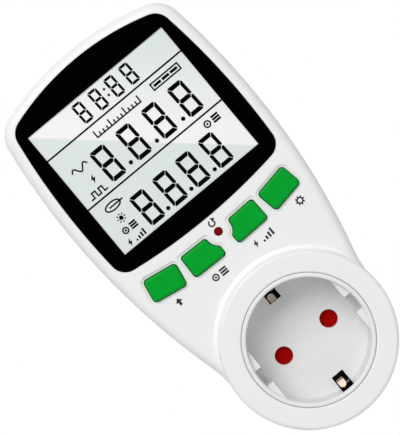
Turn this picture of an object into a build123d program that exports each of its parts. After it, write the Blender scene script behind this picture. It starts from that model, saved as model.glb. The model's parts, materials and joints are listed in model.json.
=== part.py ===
from build123d import *

import math
import os

# A plug-in energy meter: a wall plug behind, a socket in front, a screen and keys above.
# Sizes are in millimetres. X runs across the front and Z up it, and +Y points into the wall.
# The origin is the centre of the plug's end face, between the two plug pins.
# Outlines are drawn in X and Z and run from a front plane to a back plane, front first.

# Standard plug and socket
PIN_SPACING = 19.0
PIN_R = 2.4
PIN_LENGTH = 19.0
PIN_TIP_R = 1.6
RECESS_R = 20.1
RECESS_DEPTH = 17.5
PIN_HOLE_R = 3.05
CHORD_X = 17.4
GUIDE_HALF_HEIGHT = 9.9
GUIDE_NOTCH_HALF = 3.1
BOSS_R = 18.7
BOSS_HEIGHT = 18.0

# The body's outline, seen from the front
HALF_WIDTH = 37.8
WIDEST_Z = 73.4
TOP_Z = 120.4
TOP_R = 97.0
CORNER_R = 9.0
COLLAR_R = 28.9
NECK_Z = 6.6
NECK_R = 30.0

# Depths of the body
BODY_DEPTH = 31.0
FRONT_DEPTH = 16.0
COLLAR_RISE = 4.0

# Walls and edges of the shells
WALL = 2.2
FACE_WALL = 3.0
COLLAR_WALL = 2.4
REAR_WALL = 2.2
BOSS_WALL = 3.0
END_WALL = 3.0
FRONT_EDGE_R = 3.0
REAR_EDGE_R = 4.0
COLLAR_EDGE_R = 1.3
BOSS_EDGE_R = 1.0
BOSS_FLAT_GAP = 0.6
TONGUE_THICK = 1.0
TONGUE_HEIGHT = 1.5

# Lens
LENS_SIDE_BORDER = 3.9
LENS_TOP_BORDER = 3.3
LENS_BOTTOM_Z = 50.9
LENS_SIDE_R = 230.0
LENS_TOP_R = 90.0
LENS_BOTTOM_R = 200.0
LENS_TOP_CORNER_R = 6.0
LENS_BOTTOM_CORNER_R = 5.5
LENS_THICK = 1.4
LENS_EDGE_R = 0.3
MASK_THICK = 0.2

# Liquid-crystal panel
WINDOW_SIDE_BORDER = 6.0
WINDOW_TOP_BORDER = 9.7
WINDOW_BOTTOM_BORDER = 7.65
GLASS_MARGIN = 2.1
GLASS_END_MARGIN = 1.5
GLASS_THICK = 1.1
REFLECTOR_THICK = 0.2
FRAME_WALL = 1.2
FRAME_LEDGE = 2.0
ZEBRA_THICK = 1.8
FRAME_PEG_R = 0.9
FRAME_FOOT_R = 1.6
ZEBRA_SHORT = 3.5
PEG_INSET = 2.4

# Keys and reset button
KEY_ROW_INSET = 8.1
KEY_MIDDLE_GAP = 5.4
KEY_SIDE_GAP = 3.0
INNER_KEY_EXTRA = 0.4
KEY_HEIGHT = 7.8
KEY_CORNER_R = 1.2
KEY_EDGE_R = 0.8
KEY_PROUD = 1.2
KEY_TRAVEL = 0.5
OUTER_KEY_DROP = 7.6
OUTER_KEY_TILT = 10.0
INNER_KEY_DROP = 8.75
INNER_KEY_TILT = 1.5
INNER_KEY_HEIGHT = 7.9
KEY_NOTCH_R = 4.8
KEY_WELL = 1.1
KEY_WELL_DEPTH = 0.4
KEY_FLANGE = 0.9
FLANGE_THICK = 1.0
STEM_R = 1.9
RESET_DROP = 5.8
RESET_R = 1.2
RESET_SUNK = 0.2
RESET_FLANGE_R = 2.2
SWITCH_SIZE = 4.5
SWITCH_HEIGHT = 2.5
SWITCH_BORE_DEPTH = 1.8
PLUNGER_R = 1.6
PLUNGER_PROUD = 0.9
PLUNGER_DEPTH = 0.7
PLUNGER_FIT = 0.08

# Boards
BOARD_THICK = 1.6
BOARD_SPACE = 12.4
DISPLAY_BOARD_SPACE = 5.4
DISPLAY_BOARD_DROP = 19.9
POWER_BOARD_INSET = 12.8
POWER_BOARD_CORNER_R = 2.0
POWER_BOARD_RISE = 3.1
POWER_BOARD_TOP_GAP = 9.6
BOARD_EDGE_GAP = 1.0
CONTROLLER_R = 6.0
CONTROLLER_HEIGHT = 1.6
CRYSTAL_R = 1.5
CRYSTAL_LENGTH = 8.0
CONTROLLER_X = 10.0
CRYSTAL_X = -12.0

# Parts on the power board
LINK_RISE = 36.0
PARTS_GAP = 2.25
SHUNT_X = -9.0
SHUNT_HALF_LENGTH = 7.0
SHUNT_FOOT = 2.5
SHUNT_WIDTH = 4.0
SHUNT_THICK = 0.8
SHUNT_HEIGHT = 3.4
FUSE_X = 10.0
FUSE_R = 1.8
FUSE_LENGTH = 9.0
CHIP_X = 8.0
CHIP_LENGTH = 10.3
CHIP_WIDTH = 7.5
CHIP_HEIGHT = 2.3
CHIP_LEGS = 8
CHIP_PITCH = 1.27
CHIP_LEG_WIDTH = 0.4
CHIP_LEG_REACH = 1.0
DROPPER_X = -12.0
DROPPER_LENGTH = 18.0
DROPPER_WIDTH = 8.5
DROPPER_HEIGHT = 10.0
DROPPER_EDGE_R = 0.6
VARISTOR_INSET = 8.0
VARISTOR_R = 4.8
VARISTOR_THICK = 4.0
VARISTOR_EDGE_R = 1.2
SMOOTHING_X = 10.0
SMOOTHING_R = 4.0
SMOOTHING_LENGTH = 12.0
DIODE_INSET = 11.0
DIODE_R = 1.35
DIODE_LENGTH = 4.5
DIODE_PITCH = 4.0
DIODE_COUNT = 4
WIRE_R = 0.35
WIRE_REACH = 1.6
LINK_X = 11.0
LINK_PITCH = 2.54
LINK_COUNT = 8
LINK_PIN_HALF = 0.32
LINK_SPACER_HEIGHT = 2.5
LINK_SPACER_HALF = 1.27
CELL_DROP = 14.0
CELL_R = 5.4
CELL_LENGTH = 5.3
CELL_COUNT = 3
CELL_EDGE_R = 0.5
HOLDER_BASE = 0.8
HOLDER_END = 1.2
HOLDER_HEIGHT = 7.0

# Socket cup
CUP_WALL = 1.5
FLOOR_THICK = 2.5
LIP_R = 0.55
GUIDE_SUNK = 2.5
CUP_FLANGE_R = 26.2
CUP_FLANGE_THICK = 2.0
CUP_POST_HEIGHT = 5.6
CUP_POST_R = 1.9
CUP_POST_CIRCLE_R = 24.1
PIVOT_R = 1.4
MARK_R = 2.8
MARK_WIDTH = 0.3
MARK_HEIGHT = 0.12
STOP_PEG_R = 1.0
CARRIER_POST_R = 2.0
CARRIER_POST_CIRCLE_R = 16.3

# Shutter
SHUTTER_PAD_R = 3.6
SHUTTER_ARM_WIDTH = 4.0
SHUTTER_THICK = 1.2
SHUTTER_HUB_R = 2.4
SHUTTER_SPACE = 2.8
SHUTTER_OPEN_DEG = 42.0
SHUTTER_FIT = 0.05
SPRING_WIRE_R = 0.2
SPRING_R = 2.85
SPRING_TURNS = 2.0
SPRING_PITCH = 0.42
SPRING_LEG = 3.5

# Contact carrier and contacts
CARRIER_R = 18.6
CARRIER_THICK = 2.0
TOWER_HALF_X = 4.6
TOWER_HALF_Z = 5.2
TOWER_WALL = 1.0
TOWER_LENGTH = 10.7
EAR_HALF_WIDTH = 4.0
EAR_GAP = 0.4
EAR_DEPTH = 3.6
EAR_WALL = 1.2
CONTACT_FIT = 0.05
CONTACT_WALL = 0.6
CONTACT_SLOT = 1.0
CONTACT_LENGTH = 12.4
TAB_WIDTH = 4.0
TAB_THICK = 0.6
TAB_REACH = 6.0
TAB_DROP = 3.9

# Plug pins and earth parts
PIN_ROOT_R = 2.57
PIN_ROOT_LENGTH = 7.0
PIN_SEAT_R = 5.0
PIN_HEAD_R = 3.6
PIN_HEAD_THICK = 1.6
PIN_TAIL_R = 1.6
PIN_TAIL_LENGTH = 3.4
LUG_R = 3.0
LUG_THICK = 0.8
LUG_REACH = 6.5
EARTH_WIDTH = 3.6
EARTH_THICK = 0.6
EARTH_BEND_R = 1.0
EARTH_PROUD = 0.25
EARTH_BULGE_R = 16.3
EARTH_GROOVE_DEPTH = 1.5
EARTH_SLOT_WIDTH = 4.5
EARTH_SLOT_IN = 15.6
EARTH_SLOT_TOP = 2.0
EARTH_TIP_SET = 2.0
EARTH_TIP_TUCK = 1.1
EARTH_LEAVE_RISE = 4.8
EARTH_ENTRY_RISE = 1.6
EARTH_RISE_START = 1.3
EARTH_BULGE_START = 3.0
EARTH_BULGE_HEIGHT = 10.5
EARTH_TOP_GAP = 4.6
FINGER_WIDTH = 2.4
FINGER_ASIDE = 0.6
FINGER_END_R = 19.2
EARTH_SPAN_DEPTH = 12.4
EARTH_SPAN_THICK = 0.8
RIVET_R = 0.75
RIVET_HEAD_R = 1.3
RIVET_HEAD_THICK = 0.4

# Leads
FEED_LEAD_R = 0.9
FEED_LEAD_ASIDE = 4.5
LEAD_END_RUN = 9.5
LUG_LEAD_RUN = 4.3
TAB_LEAD_RUN = 7.0
FEED_RISE_DEPTH = 5.2
FEED_RISE_ASIDE = 3.4
FEED_RISE_RUN = 0.7
NEUTRAL_LEAD_R = 0.8

# Screws
CASE_SCREW_R = 1.25
CASE_SCREW_HEAD_R = 2.4
CASE_SCREW_HEAD_THICK = 1.8
CASE_SCREW_SINK = 4.2
CASE_SCREW_GRIP = 8.0
CASE_BOSS_R = 2.8
CASE_BOSS_REAR_R = 3.6
CASE_BOSS_INSET = 17.8
LOW_BOSS_INSET = 13.8
LOW_BOSS_Z = 22.0
SMALL_SCREW_R = 0.9
SMALL_HEAD_R = 1.8
SMALL_HEAD_THICK = 1.2
SMALL_SCREW_GRIP = 3.6
POST_R = 2.2
DISPLAY_POST_INSET = 13.8
DISPLAY_POST_DROP = 16.9
POWER_POST_INSET = 4.0

# Clearances
SCREW_FIT = 0.05
HOLE_GAP = 0.25
SEAT_GAP = 0.05
PART_GAP = 0.2
SLIDE_GAP = 0.3
KEY_GAP = 0.3
CUP_GAP = 0.12

# Planes along Y
PLUG_FACE_Y = 0.0
REAR_Y = PLUG_FACE_Y - BOSS_HEIGHT
REAR_INSIDE_Y = REAR_Y - REAR_WALL
FACE_Y = REAR_Y - BODY_DEPTH
FACE_INSIDE_Y = FACE_Y + FACE_WALL
PART_Y = FACE_Y + FRONT_DEPTH
RIM_Y = FACE_Y - COLLAR_RISE
RIM_INSIDE_Y = RIM_Y + COLLAR_WALL
FLOOR_Y = RIM_Y + RECESS_DEPTH
FLOOR_BACK_Y = FLOOR_Y + FLOOR_THICK
LENS_FRONT_Y = FACE_Y + SEAT_GAP
LENS_BACK_Y = LENS_FRONT_Y + LENS_THICK
MASK_BACK_Y = LENS_BACK_Y + MASK_THICK
LENS_SEAT_Y = MASK_BACK_Y + SEAT_GAP
GLASS_FRONT_Y = FACE_INSIDE_Y + SEAT_GAP
GLASS_JOIN_Y = GLASS_FRONT_Y + GLASS_THICK
GLASS_BACK_Y = GLASS_JOIN_Y + GLASS_THICK
REFLECTOR_BACK_Y = GLASS_BACK_Y + REFLECTOR_THICK
DISPLAY_BOARD_Y = FACE_INSIDE_Y + DISPLAY_BOARD_SPACE
DISPLAY_BOARD_BACK_Y = DISPLAY_BOARD_Y + BOARD_THICK
POWER_BOARD_Y = DISPLAY_BOARD_BACK_Y + BOARD_SPACE
POWER_BOARD_BACK_Y = POWER_BOARD_Y + BOARD_THICK
KEY_TOP_Y = FACE_Y - KEY_PROUD
KEY_FLANGE_Y = FACE_INSIDE_Y + SLIDE_GAP
KEY_BACK_Y = KEY_FLANGE_Y + FLANGE_THICK
SWITCH_TOP_Y = DISPLAY_BOARD_Y - SWITCH_HEIGHT
PLUNGER_TOP_Y = SWITCH_TOP_Y - PLUNGER_PROUD
CUP_FLANGE_Y = RIM_INSIDE_Y + CUP_POST_HEIGHT
CARRIER_Y = FLOOR_BACK_Y + SHUTTER_SPACE
CARRIER_BACK_Y = CARRIER_Y + CARRIER_THICK
TOWER_BACK_Y = CARRIER_BACK_Y + TOWER_LENGTH
CONTACT_Y = CARRIER_BACK_Y + SLIDE_GAP
CONTACT_BACK_Y = CONTACT_Y + CONTACT_LENGTH
TAB_Y = CARRIER_BACK_Y + TAB_DROP
PIN_HEAD_Y = PLUG_FACE_Y - PIN_ROOT_LENGTH
LUG_Y = PIN_HEAD_Y - PIN_HEAD_THICK
CASE_NECK_Y = REAR_Y - CASE_SCREW_SINK - CASE_SCREW_HEAD_THICK
SHUTTER_Y = FLOOR_BACK_Y + PART_GAP
SHUTTER_BACK_Y = SHUTTER_Y + SHUTTER_THICK
EARTH_TIP_Y = PLUG_FACE_Y - EARTH_TIP_SET
EARTH_LEAVE_Y = REAR_Y + EARTH_LEAVE_RISE
EARTH_ENTRY_Y = REAR_Y + EARTH_ENTRY_RISE
EARTH_RISE_Y = REAR_INSIDE_Y - EARTH_RISE_START
RIVET_Y = (EARTH_ENTRY_Y + EARTH_RISE_Y) / 2

# Places across and up the front
PIN_X = PIN_SPACING / 2
KEY_ROW_X = HALF_WIDTH - KEY_ROW_INSET
KEY_WIDTH = (KEY_ROW_X - KEY_MIDDLE_GAP / 2 - KEY_SIDE_GAP - INNER_KEY_EXTRA) / 2
INNER_KEY_WIDTH = KEY_WIDTH + INNER_KEY_EXTRA
INNER_KEY_X = (KEY_MIDDLE_GAP + INNER_KEY_WIDTH) / 2
OUTER_KEY_X = KEY_ROW_X - KEY_WIDTH / 2
DISPLAY_POST_X = HALF_WIDTH - DISPLAY_POST_INSET
CASE_BOSS_X = HALF_WIDTH - CASE_BOSS_INSET
LOW_BOSS_X = HALF_WIDTH - LOW_BOSS_INSET
POWER_BOARD_HALF_WIDTH = HALF_WIDTH - POWER_BOARD_INSET
VARISTOR_X = VARISTOR_INSET - POWER_BOARD_HALF_WIDTH
DIODE_X = DIODE_INSET - POWER_BOARD_HALF_WIDTH
FEED_LEAD_X = FEED_LEAD_ASIDE - PIN_X
LENS_HALF_WIDTH = HALF_WIDTH - LENS_SIDE_BORDER
LENS_TOP_Z = TOP_Z - LENS_TOP_BORDER
WINDOW_HALF_WIDTH = LENS_HALF_WIDTH - WINDOW_SIDE_BORDER
WINDOW_TOP_Z = LENS_TOP_Z - WINDOW_TOP_BORDER
WINDOW_BOTTOM_Z = LENS_BOTTOM_Z + WINDOW_BOTTOM_BORDER
GLASS_HALF_WIDTH = WINDOW_HALF_WIDTH + GLASS_MARGIN
GLASS_TOP_Z = WINDOW_TOP_Z + GLASS_END_MARGIN
REAR_GLASS_BOTTOM_Z = WINDOW_BOTTOM_Z - GLASS_END_MARGIN
ZEBRA_TOP_Z = REAR_GLASS_BOTTOM_Z - SLIDE_GAP
ZEBRA_BOTTOM_Z = ZEBRA_TOP_Z - ZEBRA_THICK
GLASS_BOTTOM_Z = ZEBRA_BOTTOM_Z - SLIDE_GAP
FRAME_HALF_WIDTH = GLASS_HALF_WIDTH + PART_GAP + FRAME_WALL
FRAME_TOP_Z = GLASS_TOP_Z + PART_GAP + FRAME_WALL
FRAME_BOTTOM_Z = GLASS_BOTTOM_Z - PART_GAP - FRAME_WALL
CASE_BOSS_Z = FRAME_TOP_Z + SLIDE_GAP + CASE_BOSS_R
TOP_POST_Z = FRAME_TOP_Z + SLIDE_GAP + POST_R
OUTER_KEY_Z = LENS_BOTTOM_Z - OUTER_KEY_DROP
INNER_KEY_Z = LENS_BOTTOM_Z - INNER_KEY_DROP
RESET_Z = LENS_BOTTOM_Z - RESET_DROP
LOW_POST_Z = LENS_BOTTOM_Z - DISPLAY_POST_DROP
DISPLAY_BOARD_BOTTOM_Z = LENS_BOTTOM_Z - DISPLAY_BOARD_DROP
POWER_BOARD_BOTTOM_Z = COLLAR_R + POWER_BOARD_RISE
POWER_BOARD_TOP_Z = CASE_BOSS_Z - POWER_BOARD_TOP_GAP

CONTROLLER_Z = POWER_BOARD_BOTTOM_Z + LINK_RISE - LINK_SPACER_HALF - CONTROLLER_R - PARTS_GAP
CRYSTAL_Z = LENS_BOTTOM_Z - RESET_DROP

# Heights above the power board's lower edge, from the link down on each side
SMOOTHING_RISE = LINK_RISE - LINK_SPACER_HALF - SMOOTHING_LENGTH / 2 - PARTS_GAP
CHIP_TOP_RISE = SMOOTHING_RISE - SMOOTHING_LENGTH / 2 - PARTS_GAP
CHIP_RISE = CHIP_TOP_RISE - CHIP_LEG_REACH - CHIP_WIDTH / 2
FUSE_RISE = CHIP_RISE - CHIP_WIDTH / 2 - CHIP_LEG_REACH - PARTS_GAP - FUSE_R
DIODE_RISE = LINK_RISE
DROPPER_TOP_RISE = DIODE_RISE - DIODE_LENGTH / 2 - WIRE_REACH - PARTS_GAP
DROPPER_RISE = DROPPER_TOP_RISE - DROPPER_WIDTH / 2
VARISTOR_RISE = DROPPER_RISE - DROPPER_WIDTH / 2 - PARTS_GAP - VARISTOR_R
SHUNT_RISE = VARISTOR_RISE - VARISTOR_R - PARTS_GAP - SHUNT_WIDTH / 2

# Radii that follow from their neighbours
NECK_X = math.sqrt(COLLAR_R**2 - NECK_Z**2)
SIDE_BULGE = HALF_WIDTH - NECK_X
SIDE_R = ((WIDEST_Z - NECK_Z) ** 2 + SIDE_BULGE**2) / (2 * SIDE_BULGE)
CUP_R = RECESS_R + CUP_WALL
MOUTH_R = CUP_R + CUP_GAP
BOSS_HOLLOW_R = BOSS_R - BOSS_WALL
CONTACT_IN_R = PIN_R + CONTACT_FIT
CONTACT_R = CONTACT_IN_R + CONTACT_WALL
EARTH_INNER_R = BOSS_HOLLOW_R - EARTH_THICK - HOLE_GAP - PART_GAP
EARTH_RISE_R = RECESS_R - EARTH_THICK
TAB_END_Z = CONTACT_R + TAB_REACH


def rect(x0, x1, z0, z1):
    """A rectangle outline between two X and two Z values."""
    return Pos((x0 + x1) / 2, (z0 + z1) / 2) * Rectangle(abs(x1 - x0), abs(z1 - z0))


def disc(x, z, radius):
    """A round outline."""
    return Pos(x, z) * Circle(radius)


def slab(outline, y_front, y_back):
    """A solid with an X-Z outline that runs from a front plane to a back plane."""
    plane = Plane(origin=(0, y_back, 0), x_dir=(1, 0, 0), z_dir=(0, -1, 0))
    return extrude(plane * outline, amount=y_back - y_front)


def rod(x, z, radius, y_front, y_back):
    """A round bar along Y."""
    return slab(disc(x, z, radius), y_front, y_back)


def block(x0, x1, y0, y1, z0, z1):
    """A box between two values on each axis."""
    centre = Pos((x0 + x1) / 2, (y0 + y1) / 2, (z0 + z1) / 2)
    return centre * Box(abs(x1 - x0), abs(y1 - y0), abs(z1 - z0))


def front_edges(solid):
    """The edges round a solid's frontmost face."""
    return solid.faces().sort_by(Axis.Y)[0].outer_wire().edges()


def back_edges(solid):
    """The edges round a solid's rearmost face."""
    return solid.faces().sort_by(Axis.Y)[-1].outer_wire().edges()


def save(name, *solids):
    """Write one node, which holds one solid or a group of separate ones."""
    shape = solids[0] if len(solids) == 1 else Compound(children=list(solids))
    export_step(shape, f"parts/{name}.step")


def body_outline(inset):
    """The meter's outline from the front, drawn in by inset all round."""
    left = disc(SIDE_R - HALF_WIDTH, WIDEST_Z, SIDE_R - inset)
    right = disc(HALF_WIDTH - SIDE_R, WIDEST_Z, SIDE_R - inset)
    top = disc(0, TOP_Z - TOP_R, TOP_R - inset)
    upper = left & right & top & rect(-HALF_WIDTH, HALF_WIDTH, 0, TOP_Z)
    shape = upper + Circle(COLLAR_R - inset)
    corners = shape.vertices().filter_by(lambda v: v.Y > WIDEST_Z)
    shape = fillet(corners, CORNER_R - inset)
    neck = shape.vertices().filter_by(lambda v: abs(v.Y) < COLLAR_R)
    return fillet(neck, NECK_R + inset)


def lens_outline(grow):
    """The lens outline, made larger by grow all round."""
    left = disc(LENS_SIDE_R - LENS_HALF_WIDTH, WIDEST_Z, LENS_SIDE_R + grow)
    right = disc(LENS_HALF_WIDTH - LENS_SIDE_R, WIDEST_Z, LENS_SIDE_R + grow)
    top = disc(0, LENS_TOP_Z - LENS_TOP_R, LENS_TOP_R + grow)
    bottom = disc(0, LENS_BOTTOM_Z + LENS_BOTTOM_R, LENS_BOTTOM_R + grow)
    shape = left & right & top & bottom
    upper = shape.vertices().filter_by(lambda v: v.Y > WIDEST_Z)
    shape = fillet(upper, LENS_TOP_CORNER_R + grow)
    lower = shape.vertices().sort_by(Axis.Y)[:2]
    return fillet(lower, LENS_BOTTOM_CORNER_R + grow)


def window_outline(grow):
    """The visible part of the panel."""
    half = WINDOW_HALF_WIDTH + grow
    return rect(-half, half, WINDOW_BOTTOM_Z - grow, WINDOW_TOP_Z + grow)


def outer_key_outline(side, grow):
    """An outer key: a tilted rounded rectangle."""
    shape = RectangleRounded(KEY_WIDTH + 2 * grow, KEY_HEIGHT + 2 * grow, KEY_CORNER_R + grow)
    return Pos(side * OUTER_KEY_X, OUTER_KEY_Z) * Rot(0, 0, side * OUTER_KEY_TILT) * shape


def inner_key_outline(side, grow):
    """An inner key: a rectangle cut back by a circle round the reset button."""
    shape = Rectangle(INNER_KEY_WIDTH + 2 * grow, INNER_KEY_HEIGHT + 2 * grow)
    shape = Pos(side * INNER_KEY_X, INNER_KEY_Z) * Rot(0, 0, side * INNER_KEY_TILT) * shape
    shape = shape - disc(0, RESET_Z, KEY_NOTCH_R - grow)
    return fillet(shape.vertices(), KEY_CORNER_R)


# Each key's outline, side and centre
KEYS = {
    "left_outer": (outer_key_outline, -1, OUTER_KEY_X, OUTER_KEY_Z),
    "left_inner": (inner_key_outline, -1, INNER_KEY_X, INNER_KEY_Z),
    "right_inner": (inner_key_outline, 1, INNER_KEY_X, INNER_KEY_Z),
    "right_outer": (outer_key_outline, 1, OUTER_KEY_X, OUTER_KEY_Z),
}

# Where each switch stands, for the four keys and the reset button
SWITCH_SPOTS = {name: (side * x, z) for name, (_, side, x, z) in KEYS.items()}
SWITCH_SPOTS["reset"] = (0, RESET_Z)

# Screw places, as X and Z
CASE_SPOTS = [(side * CASE_BOSS_X, CASE_BOSS_Z) for side in (-1, 1)]
CASE_SPOTS += [(side * LOW_BOSS_X, LOW_BOSS_Z) for side in (-1, 1)]
DISPLAY_SPOTS = [(-DISPLAY_POST_X, LOW_POST_Z), (DISPLAY_POST_X, LOW_POST_Z), (0, TOP_POST_Z)]
POWER_SPOTS = [
    (side * (POWER_BOARD_HALF_WIDTH - POWER_POST_INSET), z)
    for side in (-1, 1)
    for z in (POWER_BOARD_BOTTOM_Z + POWER_POST_INSET, POWER_BOARD_TOP_Z - POWER_POST_INSET)
]
DIAGONAL = math.sqrt(0.5)
CUP_SPOTS = [
    (sx * CUP_POST_CIRCLE_R * DIAGONAL, sz * CUP_POST_CIRCLE_R * DIAGONAL)
    for sx in (-1, 1)
    for sz in (-1, 1)
]
PEG_SPOTS = [
    (side * (FRAME_HALF_WIDTH - PEG_INSET), z)
    for side in (-1, 1)
    for z in (FRAME_BOTTOM_Z + PEG_INSET, FRAME_TOP_Z - PEG_INSET)
]
CARRIER_SPOTS = [(side * CARRIER_POST_CIRCLE_R * DIAGONAL,) * 2 for side in (-1, 1)]


def screw(x, z, radius, tip_y, neck_y, head_r, head_thick):
    """A cross-headed screw along Y, from its tip to the plane under its head."""
    way = 1 if neck_y > tip_y else -1
    head_y = neck_y + way * head_thick
    shape = rod(x, z, radius, min(tip_y, neck_y), max(tip_y, neck_y))
    shape += rod(x, z, head_r, min(neck_y, head_y), max(neck_y, head_y))
    cut_y = head_y - way * head_thick * 0.6
    for half_x, half_z in ((0.6 * head_r, 0.12 * head_r), (0.12 * head_r, 0.6 * head_r)):
        shape -= block(x - half_x, x + half_x, cut_y, head_y, z - half_z, z + half_z)
    return shape


def small_screws(spots, tip_y, neck_y):
    """A group of small screws, one at each spot."""
    return [
        screw(x, z, SMALL_SCREW_R, tip_y, neck_y, SMALL_HEAD_R, SMALL_HEAD_THICK) for x, z in spots
    ]


def tongue_ring(gap, y_front):
    """The ring in the shells' walls where the rear shell's tongue enters the front shell."""
    ring = body_outline(WALL - TONGUE_THICK + gap) - body_outline(WALL)
    return slab(ring, y_front, PART_Y)


def collar_top():
    """The raised collar, rounded outside and round the mouth that the socket cup fills."""
    collar = rod(0, 0, COLLAR_R, RIM_Y, PART_Y) - rod(0, 0, MOUTH_R, RIM_Y, RIM_INSIDE_Y)
    collar = fillet(front_edges(collar), COLLAR_EDGE_R)
    mouth = collar.faces().sort_by(Axis.Y)[0].inner_wires()[0]
    return fillet(mouth.edges(), LIP_R)


def front_shell():
    """The front half of the case, with the raised collar round the socket."""
    shell = slab(body_outline(0), FACE_Y, PART_Y)
    shell = fillet(front_edges(shell), FRONT_EDGE_R)
    shell += collar_top()
    shell -= slab(body_outline(WALL), FACE_INSIDE_Y, PART_Y)
    shell -= rod(0, 0, COLLAR_R - WALL - PART_GAP, RIM_INSIDE_Y, PART_Y)
    shell -= slab(lens_outline(CUP_GAP), FACE_Y, LENS_SEAT_Y)
    shell -= slab(window_outline(SLIDE_GAP), FACE_Y, FACE_INSIDE_Y)
    for outline, side, _, _ in KEYS.values():
        shell -= slab(outline(side, KEY_WELL), FACE_Y, FACE_Y + KEY_WELL_DEPTH)
        shell -= slab(outline(side, KEY_GAP), FACE_Y, FACE_INSIDE_Y)
    shell -= rod(0, RESET_Z, RESET_R + HOLE_GAP, FACE_Y, FACE_INSIDE_Y)
    for x, z in CASE_SPOTS:
        shell += rod(x, z, CASE_BOSS_R, FACE_INSIDE_Y, PART_Y)
        shell -= rod(x, z, CASE_SCREW_R + SCREW_FIT, PART_Y - CASE_SCREW_GRIP - HOLE_GAP, PART_Y)
    for x, z in DISPLAY_SPOTS:
        shell += rod(x, z, POST_R, FACE_INSIDE_Y, DISPLAY_BOARD_Y)
        shell -= pilot_hole(x, z, DISPLAY_BOARD_Y - SMALL_SCREW_GRIP - HOLE_GAP, DISPLAY_BOARD_Y)
    for x, z in CUP_SPOTS:
        shell += rod(x, z, CUP_POST_R, RIM_INSIDE_Y, CUP_FLANGE_Y)
        shell -= pilot_hole(x, z, CUP_FLANGE_Y - SMALL_SCREW_GRIP - HOLE_GAP, CUP_FLANGE_Y)
    return shell - tongue_ring(0, PART_Y - TONGUE_HEIGHT - SEAT_GAP)


def pilot_hole(x, z, y_front, y_back):
    """The hole that a small screw's shank fills."""
    return rod(x, z, SMALL_SCREW_R + SCREW_FIT, y_front, y_back)


def plug_boss():
    """The round plug body behind the case, flat where the wall socket's guides are."""
    boss = rod(0, 0, BOSS_R, REAR_INSIDE_Y, PLUG_FACE_Y)
    boss = fillet(back_edges(boss), BOSS_EDGE_R)
    flat_x = CHORD_X - BOSS_FLAT_GAP
    rib = GUIDE_NOTCH_HALF - BOSS_FLAT_GAP
    for side in (-1, 1):
        for way in (-1, 1):
            boss -= block(
                side * flat_x, side * BOSS_R, REAR_Y, PLUG_FACE_Y, way * rib, way * GUIDE_HALF_HEIGHT
            )
    return boss


def rear_shell():
    """The rear half of the case, with the plug boss."""
    shell = slab(body_outline(0), PART_Y, REAR_Y)
    shell = fillet(back_edges(shell), REAR_EDGE_R)
    shell += plug_boss()
    shell -= slab(body_outline(WALL), PART_Y, REAR_INSIDE_Y)
    shell += tongue_ring(SEAT_GAP, PART_Y - TONGUE_HEIGHT)
    shell -= rod(0, 0, BOSS_HOLLOW_R, REAR_INSIDE_Y, PLUG_FACE_Y - END_WALL)
    for side in (-1, 1):
        shell += rod(side * PIN_X, 0, PIN_SEAT_R, PIN_HEAD_Y, PLUG_FACE_Y - END_WALL)
        shell -= rod(side * PIN_X, 0, PIN_ROOT_R + SCREW_FIT, PIN_HEAD_Y, PLUG_FACE_Y)
        shell -= earth_groove(side)
    for x, z in CASE_SPOTS:
        shell += rod(x, z, CASE_BOSS_REAR_R, PART_Y, REAR_INSIDE_Y)
        shell -= rod(x, z, CASE_SCREW_R + HOLE_GAP, PART_Y, REAR_Y)
        shell -= rod(x, z, CASE_SCREW_HEAD_R + HOLE_GAP, CASE_NECK_Y, REAR_Y)
    for x, z in POWER_SPOTS:
        shell += rod(x, z, POST_R, POWER_BOARD_BACK_Y, REAR_INSIDE_Y)
        shell -= pilot_hole(
            x, z, POWER_BOARD_BACK_Y, POWER_BOARD_BACK_Y + SMALL_SCREW_GRIP + HOLE_GAP
        )
    return shell


def earth_groove(side):
    """The groove for a side earth contact, and the window where it enters the plug."""
    half = EARTH_SLOT_WIDTH / 2
    groove_r = BOSS_R - EARTH_GROOVE_DEPTH
    groove = block(
        -half, half, REAR_Y + EARTH_PROUD, EARTH_TIP_Y + SLIDE_GAP, side * groove_r, side * BOSS_R
    )
    window = block(
        -half,
        half,
        EARTH_ENTRY_Y - SLIDE_GAP,
        EARTH_LEAVE_Y - SLIDE_GAP,
        side * (BOSS_HOLLOW_R - BOSS_WALL),
        side * BOSS_R,
    )
    return groove + window


def lens_window():
    """The clear lens over the screen."""
    lens = slab(lens_outline(0), LENS_FRONT_Y, LENS_BACK_Y)
    return fillet(front_edges(lens), LENS_EDGE_R)


def lens_mask():
    """The black surround printed behind the lens, with the panel's window."""
    return slab(lens_outline(0) - window_outline(0), LENS_BACK_Y, MASK_BACK_Y)


def glass_sheet(bottom_z, y_front, thick):
    """One flat sheet of the panel."""
    outline = rect(-GLASS_HALF_WIDTH, GLASS_HALF_WIDTH, bottom_z, GLASS_TOP_Z)
    return slab(outline, y_front, y_front + thick)


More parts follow.
